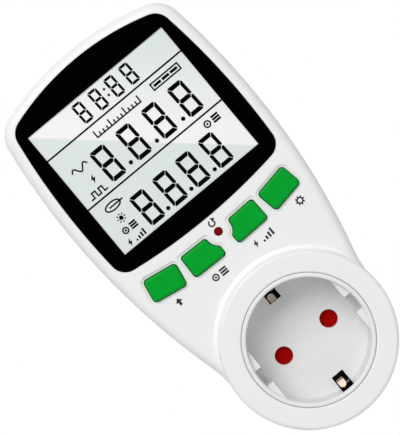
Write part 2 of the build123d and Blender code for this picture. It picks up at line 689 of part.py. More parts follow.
def lcd_frame():
    """The frame that holds the panel and stands on the display board."""
    inner_half = GLASS_HALF_WIDTH + PART_GAP
    inner_top = GLASS_TOP_Z + PART_GAP
    outer = rect(-FRAME_HALF_WIDTH, FRAME_HALF_WIDTH, FRAME_BOTTOM_Z, FRAME_TOP_Z)
    inner = rect(-inner_half, inner_half, GLASS_BOTTOM_Z - PART_GAP, inner_top)
    frame = slab(outer - inner, GLASS_FRONT_Y, DISPLAY_BOARD_Y)
    ledge_bottom = ZEBRA_TOP_Z + SLIDE_GAP / 2
    ledge = rect(-inner_half, inner_half, ledge_bottom, inner_top) - rect(
        FRAME_LEDGE - inner_half,
        inner_half - FRAME_LEDGE,
        ledge_bottom + FRAME_LEDGE,
        inner_top - FRAME_LEDGE,
    )
    ledge_y = REFLECTOR_BACK_Y + SEAT_GAP
    frame += slab(ledge, ledge_y, ledge_y + FRAME_WALL)
    for x, z in PEG_SPOTS:
        frame += rod(x, z, FRAME_FOOT_R, ledge_y, DISPLAY_BOARD_Y)
        frame += rod(x, z, FRAME_PEG_R, DISPLAY_BOARD_Y, DISPLAY_BOARD_BACK_Y + FRAME_PEG_R)
    return frame


def zebra_connector():
    """The rubber strip that joins the glass to the display board."""
    half = GLASS_HALF_WIDTH - ZEBRA_SHORT
    return block(-half, half, GLASS_JOIN_Y, DISPLAY_BOARD_Y, ZEBRA_BOTTOM_Z, ZEBRA_TOP_Z)


def display_board():
    """The board behind the panel and keys."""
    outline = body_outline(WALL + BOARD_EDGE_GAP)
    outline &= rect(-HALF_WIDTH, HALF_WIDTH, DISPLAY_BOARD_BOTTOM_Z, TOP_Z)
    for x, z in CASE_SPOTS:
        outline -= disc(x, z, CASE_BOSS_R + SLIDE_GAP)
    for x, z in DISPLAY_SPOTS:
        outline -= disc(x, z, SMALL_SCREW_R + HOLE_GAP)
    for x, z in PEG_SPOTS:
        outline -= disc(x, z, FRAME_PEG_R + SCREW_FIT)
    return slab(outline, DISPLAY_BOARD_Y, DISPLAY_BOARD_BACK_Y)


def key(outline, side, x, z):
    """A key: its cap, the flange that keeps it in and the stem over its switch."""
    cap = slab(outline(side, 0), KEY_TOP_Y, KEY_BACK_Y)
    cap = fillet(front_edges(cap), KEY_EDGE_R)
    cap += slab(outline(side, KEY_FLANGE), KEY_FLANGE_Y, KEY_BACK_Y)
    return cap + rod(side * x, z, STEM_R, KEY_BACK_Y, PLUNGER_TOP_Y - SEAT_GAP)


def reset_button():
    """The small button in its round hole, reached with a pen's tip."""
    button = rod(0, RESET_Z, RESET_R, FACE_Y + RESET_SUNK, KEY_BACK_Y)
    button = fillet(front_edges(button), RESET_R / 4)
    button += rod(0, RESET_Z, RESET_FLANGE_R, KEY_FLANGE_Y, KEY_BACK_Y)
    return button + rod(0, RESET_Z, STEM_R, KEY_BACK_Y, PLUNGER_TOP_Y - SEAT_GAP)


def switch_housing(x, z):
    """A key switch's body, with the bore that its plunger slides in."""
    half = SWITCH_SIZE / 2
    body = block(x - half, x + half, SWITCH_TOP_Y, DISPLAY_BOARD_Y, z - half, z + half)
    bore_r = PLUNGER_R + PLUNGER_FIT
    return body - rod(x, z, bore_r, SWITCH_TOP_Y, SWITCH_TOP_Y + SWITCH_BORE_DEPTH)


def switch_plunger(x, z):
    """The part of a key switch that the key pushes in."""
    return rod(x, z, PLUNGER_R, PLUNGER_TOP_Y, SWITCH_TOP_Y + PLUNGER_DEPTH)


def controller_chip():
    """The black resin dome over the controller, on the display board's back."""
    y_back = DISPLAY_BOARD_BACK_Y + CONTROLLER_HEIGHT
    dome = rod(CONTROLLER_X, CONTROLLER_Z, CONTROLLER_R, DISPLAY_BOARD_BACK_Y, y_back)
    return fillet(back_edges(dome), CONTROLLER_HEIGHT * 0.8)


def bar_along_x(x, y, z, radius, length):
    """A round bar along X about its centre."""
    return Pos(x, y, z) * Rot(0, 90, 0) * Cylinder(radius, length)


def clock_crystal():
    """The clock's crystal can, lying on the display board's back."""
    y = DISPLAY_BOARD_BACK_Y + CRYSTAL_R + SEAT_GAP
    return bar_along_x(CRYSTAL_X, y, CRYSTAL_Z, CRYSTAL_R, CRYSTAL_LENGTH)


def guide_blocks():
    """The four blocks at the recess's sides that key the plug."""
    ring = Circle(RECESS_R + CUP_WALL / 2)
    ring &= rect(-CUP_R, CUP_R, -GUIDE_HALF_HEIGHT, GUIDE_HALF_HEIGHT)
    ring -= rect(-CHORD_X, CHORD_X, -CUP_R, CUP_R)
    ring -= rect(-CUP_R, CUP_R, -GUIDE_NOTCH_HALF, GUIDE_NOTCH_HALF)
    return slab(ring, RIM_Y + GUIDE_SUNK, FLOOR_BACK_Y)


def stop_peg(turn_deg, way):
    """A peg beside a shutter pad that has turned by an angle, on the side it moves towards or from."""
    turn = math.radians(turn_deg)
    aside = way * (SHUTTER_PAD_R + STOP_PEG_R + PART_GAP)
    x = PIN_X * math.cos(turn) - aside * math.sin(turn)
    z = PIN_X * math.sin(turn) + aside * math.cos(turn)
    return rod(x, z, STOP_PEG_R, FLOOR_BACK_Y, SHUTTER_BACK_Y)


def socket_cup():
    """The socket's recess: its lip, wall, guides, floor, pin holes and earth slots."""
    cup = rod(0, 0, CUP_R, RIM_Y, FLOOR_BACK_Y) - rod(0, 0, RECESS_R, RIM_Y, FLOOR_Y)
    cup = fillet(cup.faces().sort_by(Axis.Y)[0].edges(), LIP_R)
    cup += guide_blocks()
    flange = Circle(CUP_FLANGE_R) - Circle(CUP_R - CUP_WALL / 2)
    notch = EAR_HALF_WIDTH + SLIDE_GAP
    flange -= rect(-notch, notch, -CUP_FLANGE_R, CUP_FLANGE_R)
    for x, z in CUP_SPOTS:
        flange -= disc(x, z, SMALL_SCREW_R + HOLE_GAP)
    cup += slab(flange, CUP_FLANGE_Y, CUP_FLANGE_Y + CUP_FLANGE_THICK)
    half = EARTH_SLOT_WIDTH / 2
    for side in (-1, 1):
        cup -= block(
            -half, half, RIM_Y + EARTH_SLOT_TOP, FLOOR_BACK_Y, side * EARTH_SLOT_IN, side * CUP_R
        )
        cup -= rod(side * PIN_X, 0, PIN_HOLE_R, FLOOR_Y, FLOOR_BACK_Y)
    cup += rod(0, 0, PIVOT_R, FLOOR_BACK_Y, CARRIER_Y - PART_GAP)
    cup += stop_peg(0, -1)
    cup += stop_peg(SHUTTER_OPEN_DEG, 1)
    mark = Circle(MARK_R) - Circle(MARK_R - MARK_WIDTH)
    cup += slab(mark, FLOOR_Y - MARK_HEIGHT, FLOOR_Y)
    for x, z in CARRIER_SPOTS:
        cup += rod(x, z, CARRIER_POST_R, FLOOR_BACK_Y, CARRIER_Y)
        cup -= pilot_hole(x, z, CARRIER_Y - SMALL_SCREW_GRIP - HOLE_GAP, CARRIER_Y)
    return cup


def shutter():
    """The turning plate that closes both pin holes."""
    outline = rect(-PIN_X, PIN_X, -SHUTTER_ARM_WIDTH / 2, SHUTTER_ARM_WIDTH / 2)
    for side in (-1, 1):
        outline += disc(side * PIN_X, 0, SHUTTER_PAD_R)
    plate = slab(outline + Circle(SHUTTER_HUB_R), SHUTTER_Y, SHUTTER_BACK_Y)
    plate += rod(0, 0, SHUTTER_HUB_R, SHUTTER_Y, CARRIER_Y - PART_GAP)
    return plate - rod(0, 0, PIVOT_R + SHUTTER_FIT, SHUTTER_Y, CARRIER_Y - PART_GAP)


def shutter_spring():
    """The coil round the shutter's hub, with a straight leg at each end."""
    height = SPRING_TURNS * SPRING_PITCH
    start_y = (SHUTTER_BACK_Y + CARRIER_Y - height) / 2
    coil = Helix(SPRING_PITCH, height, SPRING_R, center=(0, start_y, 0), direction=(0, 1, 0))
    start = Plane(origin=coil @ 0, z_dir=coil % 0)
    spring = sweep(start * Circle(SPRING_WIRE_R), path=coil, is_frenet=True)
    for at, way in ((0, -1), (1, 1)):
        leg = Plane(origin=coil @ at, z_dir=(coil % at) * way)
        spring += extrude(leg * Circle(SPRING_WIRE_R), amount=SPRING_LEG)
    return spring


def contact_carrier():
    """The plate behind the shutter, with the contacts' towers and the walls behind the earth slots."""
    carrier = rod(0, 0, CARRIER_R, CARRIER_Y, CARRIER_BACK_Y)
    ear_in = CUP_R + EAR_GAP
    ear_out = ear_in + EAR_DEPTH
    channel = EAR_HALF_WIDTH - EAR_WALL
    front = RIM_INSIDE_Y + SLIDE_GAP
    half = EARTH_SLOT_WIDTH / 2
    for side in (-1, 1):
        carrier += block(
            -EAR_HALF_WIDTH,
            EAR_HALF_WIDTH,
            CARRIER_Y,
            CARRIER_BACK_Y,
            side * EARTH_SLOT_IN,
            side * ear_out,
        )
        carrier += block(
            -EAR_HALF_WIDTH, EAR_HALF_WIDTH, front, CARRIER_BACK_Y, side * ear_in, side * ear_out
        )
        carrier -= block(
            -channel, channel, front, CARRIER_Y, side * ear_in, side * (ear_out - EAR_WALL)
        )
        carrier -= block(
            -half,
            half,
            CARRIER_Y,
            CARRIER_BACK_Y,
            side * (EARTH_RISE_R - 2 * EARTH_THICK),
            side * (EARTH_RISE_R + 2 * EARTH_THICK),
        )
        carrier += contact_tower(side)
        carrier -= rod(side * PIN_X, 0, PIN_HOLE_R, CARRIER_Y, CARRIER_BACK_Y)
    for x, z in CARRIER_SPOTS:
        carrier -= rod(x, z, SMALL_SCREW_R + HOLE_GAP, CARRIER_Y, CARRIER_BACK_Y)
    return carrier


def contact_tower(side):
    """The square sleeve round one contact, notched for the contact's tab."""
    x = side * PIN_X
    in_x = TOWER_HALF_X - TOWER_WALL
    in_z = TOWER_HALF_Z - TOWER_WALL
    sleeve = rect(x - TOWER_HALF_X, x + TOWER_HALF_X, -TOWER_HALF_Z, TOWER_HALF_Z)
    sleeve -= rect(x - in_x, x + in_x, -in_z, in_z)
    tower = slab(sleeve, CARRIER_BACK_Y, TOWER_BACK_Y)
    half = TAB_WIDTH / 2 + SLIDE_GAP
    return tower - block(x - half, x + half, TAB_Y - TAB_THICK, TOWER_BACK_Y, in_z, TOWER_HALF_Z)


def socket_contact(side):
    """A split tube that grips a plug's pin, with a tab for its lead."""
    x = side * PIN_X
    tube = rod(x, 0, CONTACT_R, CONTACT_Y, CONTACT_BACK_Y)
    tube -= rod(x, 0, CONTACT_IN_R, CONTACT_Y, CONTACT_BACK_Y)
    half_slot = CONTACT_SLOT / 2
    tube -= block(x - half_slot, x + half_slot, CONTACT_Y, CONTACT_BACK_Y, -CONTACT_R, 0)
    return tube + block(
        x - TAB_WIDTH / 2,
        x + TAB_WIDTH / 2,
        TAB_Y - TAB_THICK / 2,
        TAB_Y + TAB_THICK / 2,
        CONTACT_R - CONTACT_WALL / 2,
        TAB_END_Z,
    )


def plug_pin(side):
    """A plug pin: its tail, head, root in the boss and free length."""
    x = side * PIN_X
    pin = rod(x, 0, PIN_R, PLUG_FACE_Y, PLUG_FACE_Y + PIN_LENGTH)
    pin = fillet(back_edges(pin), PIN_TIP_R)
    pin += rod(x, 0, PIN_ROOT_R, PIN_HEAD_Y, PLUG_FACE_Y)
    pin += rod(x, 0, PIN_HEAD_R, LUG_Y, PIN_HEAD_Y)
    return pin + rod(x, 0, PIN_TAIL_R, LUG_Y - PIN_TAIL_LENGTH, LUG_Y)


def live_pin_lug():
    """The ring terminal on the live pin's tail."""
    outline = disc(-PIN_X, 0, LUG_R)
    outline += rect(-PIN_X - LUG_R / 2, -PIN_X + LUG_R / 2, 0, LUG_REACH)
    outline -= disc(-PIN_X, 0, PIN_TAIL_R + SCREW_FIT)
    return slab(outline, LUG_Y - LUG_THICK, LUG_Y)


def neutral_strap():
    """The strap from the neutral pin's tail up beside the neutral contact."""
    in_x = PIN_X + CONTACT_R + SEAT_GAP
    out_x = in_x + TAB_THICK
    half = TAB_WIDTH / 2
    outline = disc(PIN_X, 0, LUG_R) + rect(PIN_X, out_x, -half, half)
    outline -= disc(PIN_X, 0, PIN_TAIL_R + SCREW_FIT)
    strap = slab(outline, LUG_Y - LUG_THICK, LUG_Y)
    return strap + block(in_x, out_x, TOWER_BACK_Y + SLIDE_GAP, LUG_Y, -half, half)


def earth_strip(side):
    """One bent strip: the plug's side contact behind, the socket's clip in front."""
    face_r = BOSS_R + EARTH_PROUD - EARTH_THICK / 2
    profile = [
        (EARTH_TIP_Y, face_r - EARTH_TIP_TUCK),
        (EARTH_TIP_Y - EARTH_TIP_TUCK, face_r),
        (EARTH_LEAVE_Y, face_r),
        (EARTH_ENTRY_Y, EARTH_INNER_R),
        (EARTH_RISE_Y, EARTH_INNER_R),
        (CARRIER_BACK_Y + EARTH_BEND_R, EARTH_RISE_R),
        (FLOOR_Y - EARTH_BULGE_START, EARTH_RISE_R),
        (FLOOR_Y - EARTH_BULGE_HEIGHT, EARTH_BULGE_R),
        (RIM_Y + EARTH_TOP_GAP, RECESS_R + PART_GAP),
    ]
    path = FilletPolyline(*[(0, y, side * r) for y, r in profile], radius=EARTH_BEND_R)
    start = Plane(origin=path @ 0, x_dir=(1, 0, 0), z_dir=path % 0)
    strip = sweep(start * Rectangle(EARTH_WIDTH, EARTH_THICK), path=path)
    return strip - finger_trim(side) - rivet_hole(side)


def finger_trim(side):
    """What is cut from a strip's sides and end to leave its narrow, round-ended finger."""
    half = FINGER_WIDTH / 2
    left = -FINGER_ASIDE - half
    right = -FINGER_ASIDE + half
    round_r = FINGER_END_R - half
    far_r = RECESS_R + EARTH_WIDTH
    sides = rect(-EARTH_WIDTH, EARTH_WIDTH, 0, side * far_r) - rect(left, right, 0, side * far_r)
    end = rect(left, right, side * round_r, side * far_r) - disc(-FINGER_ASIDE, side * round_r, half)
    trim = slab(sides, RIM_Y, FLOOR_Y - EARTH_BULGE_START)
    return trim + slab(end, RIM_Y, FLOOR_Y - EARTH_BULGE_HEIGHT + EARTH_BEND_R)


def rivet_hole(side):
    """The hole for a rivet along Z, through a strip and the bridge's leg."""
    length = 2 * (EARTH_THICK + EARTH_SPAN_THICK)
    return Pos(0, RIVET_Y, side * EARTH_INNER_R) * Cylinder(RIVET_R + SCREW_FIT, 2 * length)


def earth_bridge():
    """The U-shaped strap that joins the two earth strips across the plug."""
    half = EARTH_WIDTH / 2
    out_z = EARTH_INNER_R - EARTH_THICK / 2
    in_z = out_z - EARTH_SPAN_THICK
    span_y = PLUG_FACE_Y - EARTH_SPAN_DEPTH
    bridge = block(-half, half, span_y - EARTH_SPAN_THICK, span_y, -out_z, out_z)
    for side in (-1, 1):
        bridge += block(-half, half, EARTH_RISE_Y + EARTH_BEND_R, span_y, side * in_z, side * out_z)
        bridge -= rivet_hole(side)
    return bridge


def earth_rivet(side):
    """A rivet through an earth strip and the bridge."""
    out_z = EARTH_INNER_R + EARTH_THICK / 2
    in_z = EARTH_INNER_R - EARTH_THICK / 2 - EARTH_SPAN_THICK
    shank = Cylinder(RIVET_R, out_z - in_z)
    rivet = Pos(0, RIVET_Y, side * (out_z + in_z) / 2) * shank
    for z in (out_z + RIVET_HEAD_THICK / 2, in_z - RIVET_HEAD_THICK / 2):
        rivet += Pos(0, RIVET_Y, side * z) * Cylinder(RIVET_HEAD_R, RIVET_HEAD_THICK)
    return rivet


def bend_radii(points):
    """For each corner of a route, a radius that its two runs allow."""
    runs = [Vector(b) - Vector(a) for a, b in zip(points, points[1:])]
    radii = []
    for before, after in zip(runs, runs[1:]):
        turn = math.radians(before.get_angle(after))
        radii.append(0.45 * min(before.length, after.length) / math.tan(turn / 2))
    return radii


def lead(points, radius):
    """An insulated lead along a route of straight runs joined by arcs."""
    path = FilletPolyline(*points, radius=bend_radii(points))
    return sweep(Plane(origin=path @ 0, z_dir=path % 0) * Circle(radius), path=path)


def live_feed_lead():
    """The lead from the live plug pin to the power board."""
    edge_y = (POWER_BOARD_Y + POWER_BOARD_BACK_Y) / 2
    lug_y = LUG_Y - LUG_THICK / 2
    first_z = LUG_REACH + LUG_LEAD_RUN
    points = [
        (-PIN_X, lug_y, LUG_REACH),
        (-PIN_X, lug_y, first_z),
        (FEED_RISE_ASIDE - PIN_X, CARRIER_BACK_Y + FEED_RISE_DEPTH, first_z + FEED_RISE_RUN),
        (FEED_LEAD_X, edge_y, POWER_BOARD_BOTTOM_Z - LEAD_END_RUN),
        (FEED_LEAD_X, edge_y, POWER_BOARD_BOTTOM_Z),
    ]
    return lead(points, FEED_LEAD_R)


def contact_lead(side, radius):
    """The lead from a socket contact's tab to the power board."""
    x = side * PIN_X
    edge_y = (POWER_BOARD_Y + POWER_BOARD_BACK_Y) / 2
    points = [
        (x, TAB_Y, TAB_END_Z),
        (x, TAB_Y, TAB_END_Z + TAB_LEAD_RUN),
        (x, edge_y, POWER_BOARD_BOTTOM_Z - TAB_LEAD_RUN),
        (x, edge_y, POWER_BOARD_BOTTOM_Z),
    ]
    return lead(points, radius)


def power_board():
    """The board that carries the supply and the metering parts."""
    height = POWER_BOARD_TOP_Z - POWER_BOARD_BOTTOM_Z
    outline = RectangleRounded(2 * POWER_BOARD_HALF_WIDTH, height, POWER_BOARD_CORNER_R)
    outline = Pos(0, POWER_BOARD_BOTTOM_Z + height / 2) * outline
    for x, z in POWER_SPOTS:
        outline -= disc(x, z, SMALL_SCREW_R + HOLE_GAP)
    return slab(outline, POWER_BOARD_Y, POWER_BOARD_BACK_Y)


def on_power_board(x, rise, length, width, height):
    """A box standing on the power board's front."""
    z = POWER_BOARD_BOTTOM_Z + rise
    return block(
        x - length / 2,
        x + length / 2,
        POWER_BOARD_Y - height,
        POWER_BOARD_Y,
        z - width / 2,
        z + width / 2,
    )


def shunt_resistor():
    """The bent strip whose voltage drop gives the current."""
    inner = SHUNT_HALF_LENGTH - SHUNT_FOOT
    arch = on_power_board(SHUNT_X, SHUNT_RISE, 2 * inner, SHUNT_WIDTH, SHUNT_HEIGHT)
    gap = 2 * (inner - SHUNT_THICK)
    arch -= on_power_board(SHUNT_X, SHUNT_RISE, gap, SHUNT_WIDTH, SHUNT_HEIGHT - SHUNT_THICK)
    for side in (-1, 1):
        foot_x = SHUNT_X + side * (inner + SHUNT_FOOT / 2)
        arch += on_power_board(foot_x, SHUNT_RISE, SHUNT_FOOT, SHUNT_WIDTH, SHUNT_THICK)
    return arch


def dropper_capacitor():
    """The film capacitor that feeds the supply."""
    box = on_power_board(DROPPER_X, DROPPER_RISE, DROPPER_LENGTH, DROPPER_WIDTH, DROPPER_HEIGHT)
    return fillet(box.edges().filter_by(Axis.Y) + front_edges(box), DROPPER_EDGE_R)


def varistor():
    """The surge absorber, a disc lying on the board."""
    z = POWER_BOARD_BOTTOM_Z + VARISTOR_RISE
    disk = rod(VARISTOR_X, z, VARISTOR_R, POWER_BOARD_Y - VARISTOR_THICK, POWER_BOARD_Y)
    return fillet(front_edges(disk), VARISTOR_EDGE_R)


def smoothing_capacitor():
    """The round electrolytic capacitor, lying along the board."""
    z = POWER_BOARD_BOTTOM_Z + SMOOTHING_RISE
    can = Cylinder(SMOOTHING_R, SMOOTHING_LENGTH)
    can = fillet(can.edges(), SMOOTHING_R / 8)
    return Pos(SMOOTHING_X, POWER_BOARD_Y - SMOOTHING_R - SEAT_GAP, z) * can


def metering_chip():
    """The metering chip with its two rows of legs."""
    z = POWER_BOARD_BOTTOM_Z + CHIP_RISE
    foot = CHIP_LEG_WIDTH / 2
    front = POWER_BOARD_Y - CHIP_HEIGHT
    half = CHIP_WIDTH / 2
    chip = block(
        CHIP_X - CHIP_LENGTH / 2,
        CHIP_X + CHIP_LENGTH / 2,
        front,
        POWER_BOARD_Y - foot / 2,
        z - half,
        z + half,
    )
    for n in range(CHIP_LEGS):
        x = CHIP_X + (n - (CHIP_LEGS - 1) / 2) * CHIP_PITCH
        legs = block(
            x - foot,
            x + foot,
            POWER_BOARD_Y - CHIP_HEIGHT / 2,
            POWER_BOARD_Y,
            z - half - CHIP_LEG_REACH,
            z + half + CHIP_LEG_REACH,
        )
        chip += legs - block(x - foot, x + foot, front, POWER_BOARD_Y, z - half, z + half)
    return chip


def axial_part(radius, length):
    """A round part along X with a wire at each end bent down to the board."""
    height = radius + SEAT_GAP
    reach = length / 2 + WIRE_REACH
    part = Cylinder(radius, length) + Cylinder(WIRE_R, 2 * reach)
    part = Rot(0, 90, 0) * part
    for side in (-1, 1):
        part += rod(side * (reach - WIRE_R), 0, WIRE_R, 0, height)
    return Pos(0, POWER_BOARD_Y - height, 0) * part


def fuse_resistor():
    """The fusible resistor in the live feed."""
    return Pos(FUSE_X, 0, POWER_BOARD_BOTTOM_Z + FUSE_RISE) * axial_part(FUSE_R, FUSE_LENGTH)


def rectifier_diodes():
    """The supply's diodes, side by side."""
    z = POWER_BOARD_BOTTOM_Z + DIODE_RISE
    first = DIODE_X - DIODE_PITCH * (DIODE_COUNT - 1) / 2
    upright = Pos(0, POWER_BOARD_Y, 0) * Rot(0, 90, 0) * Pos(0, -POWER_BOARD_Y, 0)
    diode = upright * axial_part(DIODE_R, DIODE_LENGTH)
    return [Pos(first + n * DIODE_PITCH, 0, z) * diode for n in range(DIODE_COUNT)]


def link_x(n):
    """Where one of the link's pins stands."""
    return LINK_X + (n - (LINK_COUNT - 1) / 2) * LINK_PITCH


def link_pins():
    """The square pins that join the two boards."""
    z = POWER_BOARD_BOTTOM_Z + LINK_RISE
    half = LINK_PIN_HALF
    return [
        block(x - half, x + half, DISPLAY_BOARD_BACK_Y, POWER_BOARD_Y, z - half, z + half)
        for x in map(link_x, range(LINK_COUNT))
    ]


def link_spacer():
    """The plastic strip that holds the link's pins in line."""
    length = LINK_COUNT * LINK_PITCH
    width = 2 * LINK_SPACER_HALF
    strip = on_power_board(LINK_X, LINK_RISE, length, width, LINK_SPACER_HEIGHT)
    hole = 2 * (LINK_PIN_HALF + SCREW_FIT)
    for n in range(LINK_COUNT):
        strip -= on_power_board(link_x(n), LINK_RISE, hole, hole, LINK_SPACER_HEIGHT)
    return strip


def backup_cells():
    """The button cells that keep the clock and readings."""
    z = POWER_BOARD_TOP_Z - CELL_DROP
    y = POWER_BOARD_Y - HOLDER_BASE - SEAT_GAP - CELL_R
    cell = Cylinder(CELL_R, CELL_LENGTH)
    cell = Rot(0, 90, 0) * fillet(cell.edges(), CELL_EDGE_R)
    first = -CELL_LENGTH * (CELL_COUNT - 1) / 2
    return [Pos(first + n * CELL_LENGTH, y, z) * cell for n in range(CELL_COUNT)]


def battery_holder():
    """The tray under the cells, with an end wall at each side."""
    rise = POWER_BOARD_TOP_Z - CELL_DROP - POWER_BOARD_BOTTOM_Z
    inner = CELL_COUNT * CELL_LENGTH + 2 * SEAT_GAP
    outer = inner + 2 * HOLDER_END
    holder = on_power_board(0, rise, outer, 2 * CELL_R, HOLDER_HEIGHT)
    tray = on_power_board(0, rise, inner, 2 * CELL_R, HOLDER_HEIGHT)
    return holder - Pos(0, -HOLDER_BASE, 0) * tray


def write_parts():
    """Write every node."""
    save("front_shell", front_shell())
    save("rear_shell", rear_shell())
    save("lens_window", lens_window())
    save("lens_mask", lens_mask())
    save("lcd_front_glass", glass_sheet(GLASS_BOTTOM_Z, GLASS_FRONT_Y, GLASS_THICK))
    save("lcd_rear_glass", glass_sheet(REAR_GLASS_BOTTOM_Z, GLASS_JOIN_Y, GLASS_THICK))
    save("lcd_reflector", glass_sheet(REAR_GLASS_BOTTOM_Z, GLASS_BACK_Y, REFLECTOR_THICK))
    save("lcd_frame", lcd_frame())
    save("zebra_connector", zebra_connector())
    save("display_board", display_board())
    save(
        "display_board_screws",
        *small_screws(DISPLAY_SPOTS, DISPLAY_BOARD_Y - SMALL_SCREW_GRIP, DISPLAY_BOARD_BACK_Y),
    )
    for name, (outline, side, x, z) in KEYS.items():
        save(f"{name}_key", key(outline, side, x, z))
    save("reset_button", reset_button())
    save("switch_housings", *[switch_housing(x, z) for x, z in SWITCH_SPOTS.values()])
    for name, (x, z) in SWITCH_SPOTS.items():
        save(f"{name}_plunger", switch_plunger(x, z))
    save("controller_chip", controller_chip())
    save("clock_crystal", clock_crystal())
    save("socket_cup", socket_cup())
    cup_neck_y = CUP_FLANGE_Y + CUP_FLANGE_THICK
    save("cup_screws", *small_screws(CUP_SPOTS, CUP_FLANGE_Y - SMALL_SCREW_GRIP, cup_neck_y))
    save("shutter", shutter())
    save("shutter_spring", shutter_spring())
    save("contact_carrier", contact_carrier())
    save(
        "carrier_screws",
        *small_screws(CARRIER_SPOTS, CARRIER_Y - SMALL_SCREW_GRIP, CARRIER_BACK_Y),
    )
    save("live_contact", socket_contact(-1))
    save("neutral_contact", socket_contact(1))
    save("live_pin", plug_pin(-1))
    save("neutral_pin", plug_pin(1))
    save("live_pin_lug", live_pin_lug())
    save("neutral_strap", neutral_strap())
    save("upper_earth_strip", earth_strip(1))
    save("lower_earth_strip", earth_strip(-1))
    save("earth_bridge", earth_bridge())
    save("earth_rivets", earth_rivet(1), earth_rivet(-1))
    save("live_feed_lead", live_feed_lead())
    save("live_load_lead", contact_lead(-1, FEED_LEAD_R))
    save("neutral_lead", contact_lead(1, NEUTRAL_LEAD_R))
    save("power_board", power_board())
    save(
        "power_board_screws",
        *small_screws(POWER_SPOTS, POWER_BOARD_BACK_Y + SMALL_SCREW_GRIP, POWER_BOARD_Y),
    )
    save("shunt_resistor", shunt_resistor())
    save("dropper_capacitor", dropper_capacitor())
    save("varistor", varistor())
    save("smoothing_capacitor", smoothing_capacitor())
    save("metering_chip", metering_chip())
    save("fuse_resistor", fuse_resistor())
    save("rectifier_diodes", *rectifier_diodes())
    save("link_pins", *link_pins())
    save("link_spacer", link_spacer())
    save("backup_cells", *backup_cells())
    save("battery_holder", battery_holder())
    save(
        "case_screws",
        *[
            screw(
                x,
                z,
                CASE_SCREW_R,
                PART_Y - CASE_SCREW_GRIP,
                CASE_NECK_Y,
                CASE_SCREW_HEAD_R,
                CASE_SCREW_HEAD_THICK,
            )
            for x, z in CASE_SPOTS
        ],
    )


os.makedirs("parts", exist_ok=True)
write_parts()
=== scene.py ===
import json
import logging
import math
from dataclasses import dataclass, field
from enum import Enum, auto

import bmesh
import bpy
from mathutils import Matrix, Vector

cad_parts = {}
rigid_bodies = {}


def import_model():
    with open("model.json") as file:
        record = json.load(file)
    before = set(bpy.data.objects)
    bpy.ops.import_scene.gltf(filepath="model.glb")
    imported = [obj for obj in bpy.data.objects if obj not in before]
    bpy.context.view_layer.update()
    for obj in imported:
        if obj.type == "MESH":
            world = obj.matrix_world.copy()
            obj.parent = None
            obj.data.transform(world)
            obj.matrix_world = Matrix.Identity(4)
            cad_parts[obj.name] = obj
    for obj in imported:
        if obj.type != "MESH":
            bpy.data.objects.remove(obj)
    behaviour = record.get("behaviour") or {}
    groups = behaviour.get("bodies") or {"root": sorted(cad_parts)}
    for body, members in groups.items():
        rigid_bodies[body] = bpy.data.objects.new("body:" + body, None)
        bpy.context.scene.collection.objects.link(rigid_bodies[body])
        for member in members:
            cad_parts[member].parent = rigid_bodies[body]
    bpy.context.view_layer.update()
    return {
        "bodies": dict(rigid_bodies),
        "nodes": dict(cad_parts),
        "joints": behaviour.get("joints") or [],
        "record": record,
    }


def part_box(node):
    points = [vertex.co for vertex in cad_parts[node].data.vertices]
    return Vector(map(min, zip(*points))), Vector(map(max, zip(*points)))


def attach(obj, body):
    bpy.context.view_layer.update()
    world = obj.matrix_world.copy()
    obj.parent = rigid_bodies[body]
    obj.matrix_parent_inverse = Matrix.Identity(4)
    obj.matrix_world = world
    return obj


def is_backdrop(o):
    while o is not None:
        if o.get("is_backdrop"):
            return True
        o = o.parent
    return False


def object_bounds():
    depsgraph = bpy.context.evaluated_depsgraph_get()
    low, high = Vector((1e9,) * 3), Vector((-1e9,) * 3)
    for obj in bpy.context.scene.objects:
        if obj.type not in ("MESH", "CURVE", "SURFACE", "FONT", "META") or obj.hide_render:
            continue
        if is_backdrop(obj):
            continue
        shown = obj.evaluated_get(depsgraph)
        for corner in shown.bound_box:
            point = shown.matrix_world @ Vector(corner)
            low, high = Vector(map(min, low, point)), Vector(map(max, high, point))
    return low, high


# Looks for a plug-in energy meter. Every CAD piece gets its finish, and thin pieces that need
# no solid are added: the screen's cover with a painted reflection, lines, figures and signs, the
# signs printed on the case, black sheets of painted shade in the earth slots and the sweep at the
# foot of the collar, made lighter by a painted highlight. The camera, the light and the floor
# come last.
# A bare length is in millimetres, apart from those of the lamps and the floor, and one times
# MM is in metres. Outlines are X and Z where nothing else is said.

MM = 0.001
HOUSING = "housing"
WHITE_LIGHT = (1.0, 1.0, 1.0, 1.0)

# How far the lens lies under the face around it
LENS_SET = 0.05

# A ring's quadrilaterals: the degrees that each one spans, and the fewest that there are
RING_STEP = 15
RING_LEAST = 6

# The least cosine at a ribbon's corner, which keeps a sharp corner from reaching too far
MITRE_LEAST = 0.4

Point = tuple[float, float]
Place = tuple[float, float, float]
Colour = tuple[float, float, float]
Polygon = list[Point]

log = logging.getLogger("energy_meter")


def linear(colour: Colour) -> tuple[float, float, float, float]:
    """Turn a colour as it looks on screen into the linear one that shaders take.

    Args:
        colour: Red, green and blue from 0 to 255.

    Returns:
        Linear red, green, blue and an alpha of 1.
    """
    parts = [c / 255 for c in colour]
    made = [c / 12.92 if c <= 0.04045 else ((c + 0.055) / 1.055) ** 2.4 for c in parts]
    return (made[0], made[1], made[2], 1.0)


class Grain(Enum):
    """How a finish's fine pattern runs."""

    EVEN = (1.0, 1.0, 1.0)
    ALONG_X = (0.04, 1.0, 1.0)
    ALONG_Y = (1.0, 0.03, 1.0)


class Layer(Enum):
    """A finish's noise layers: each one's share of the pattern's scale, and its detail."""

    MOTTLE = (0.12, 3.0)
    GLOSS = (0.3, 2.0)
    RELIEF = (1.0, 4.0)


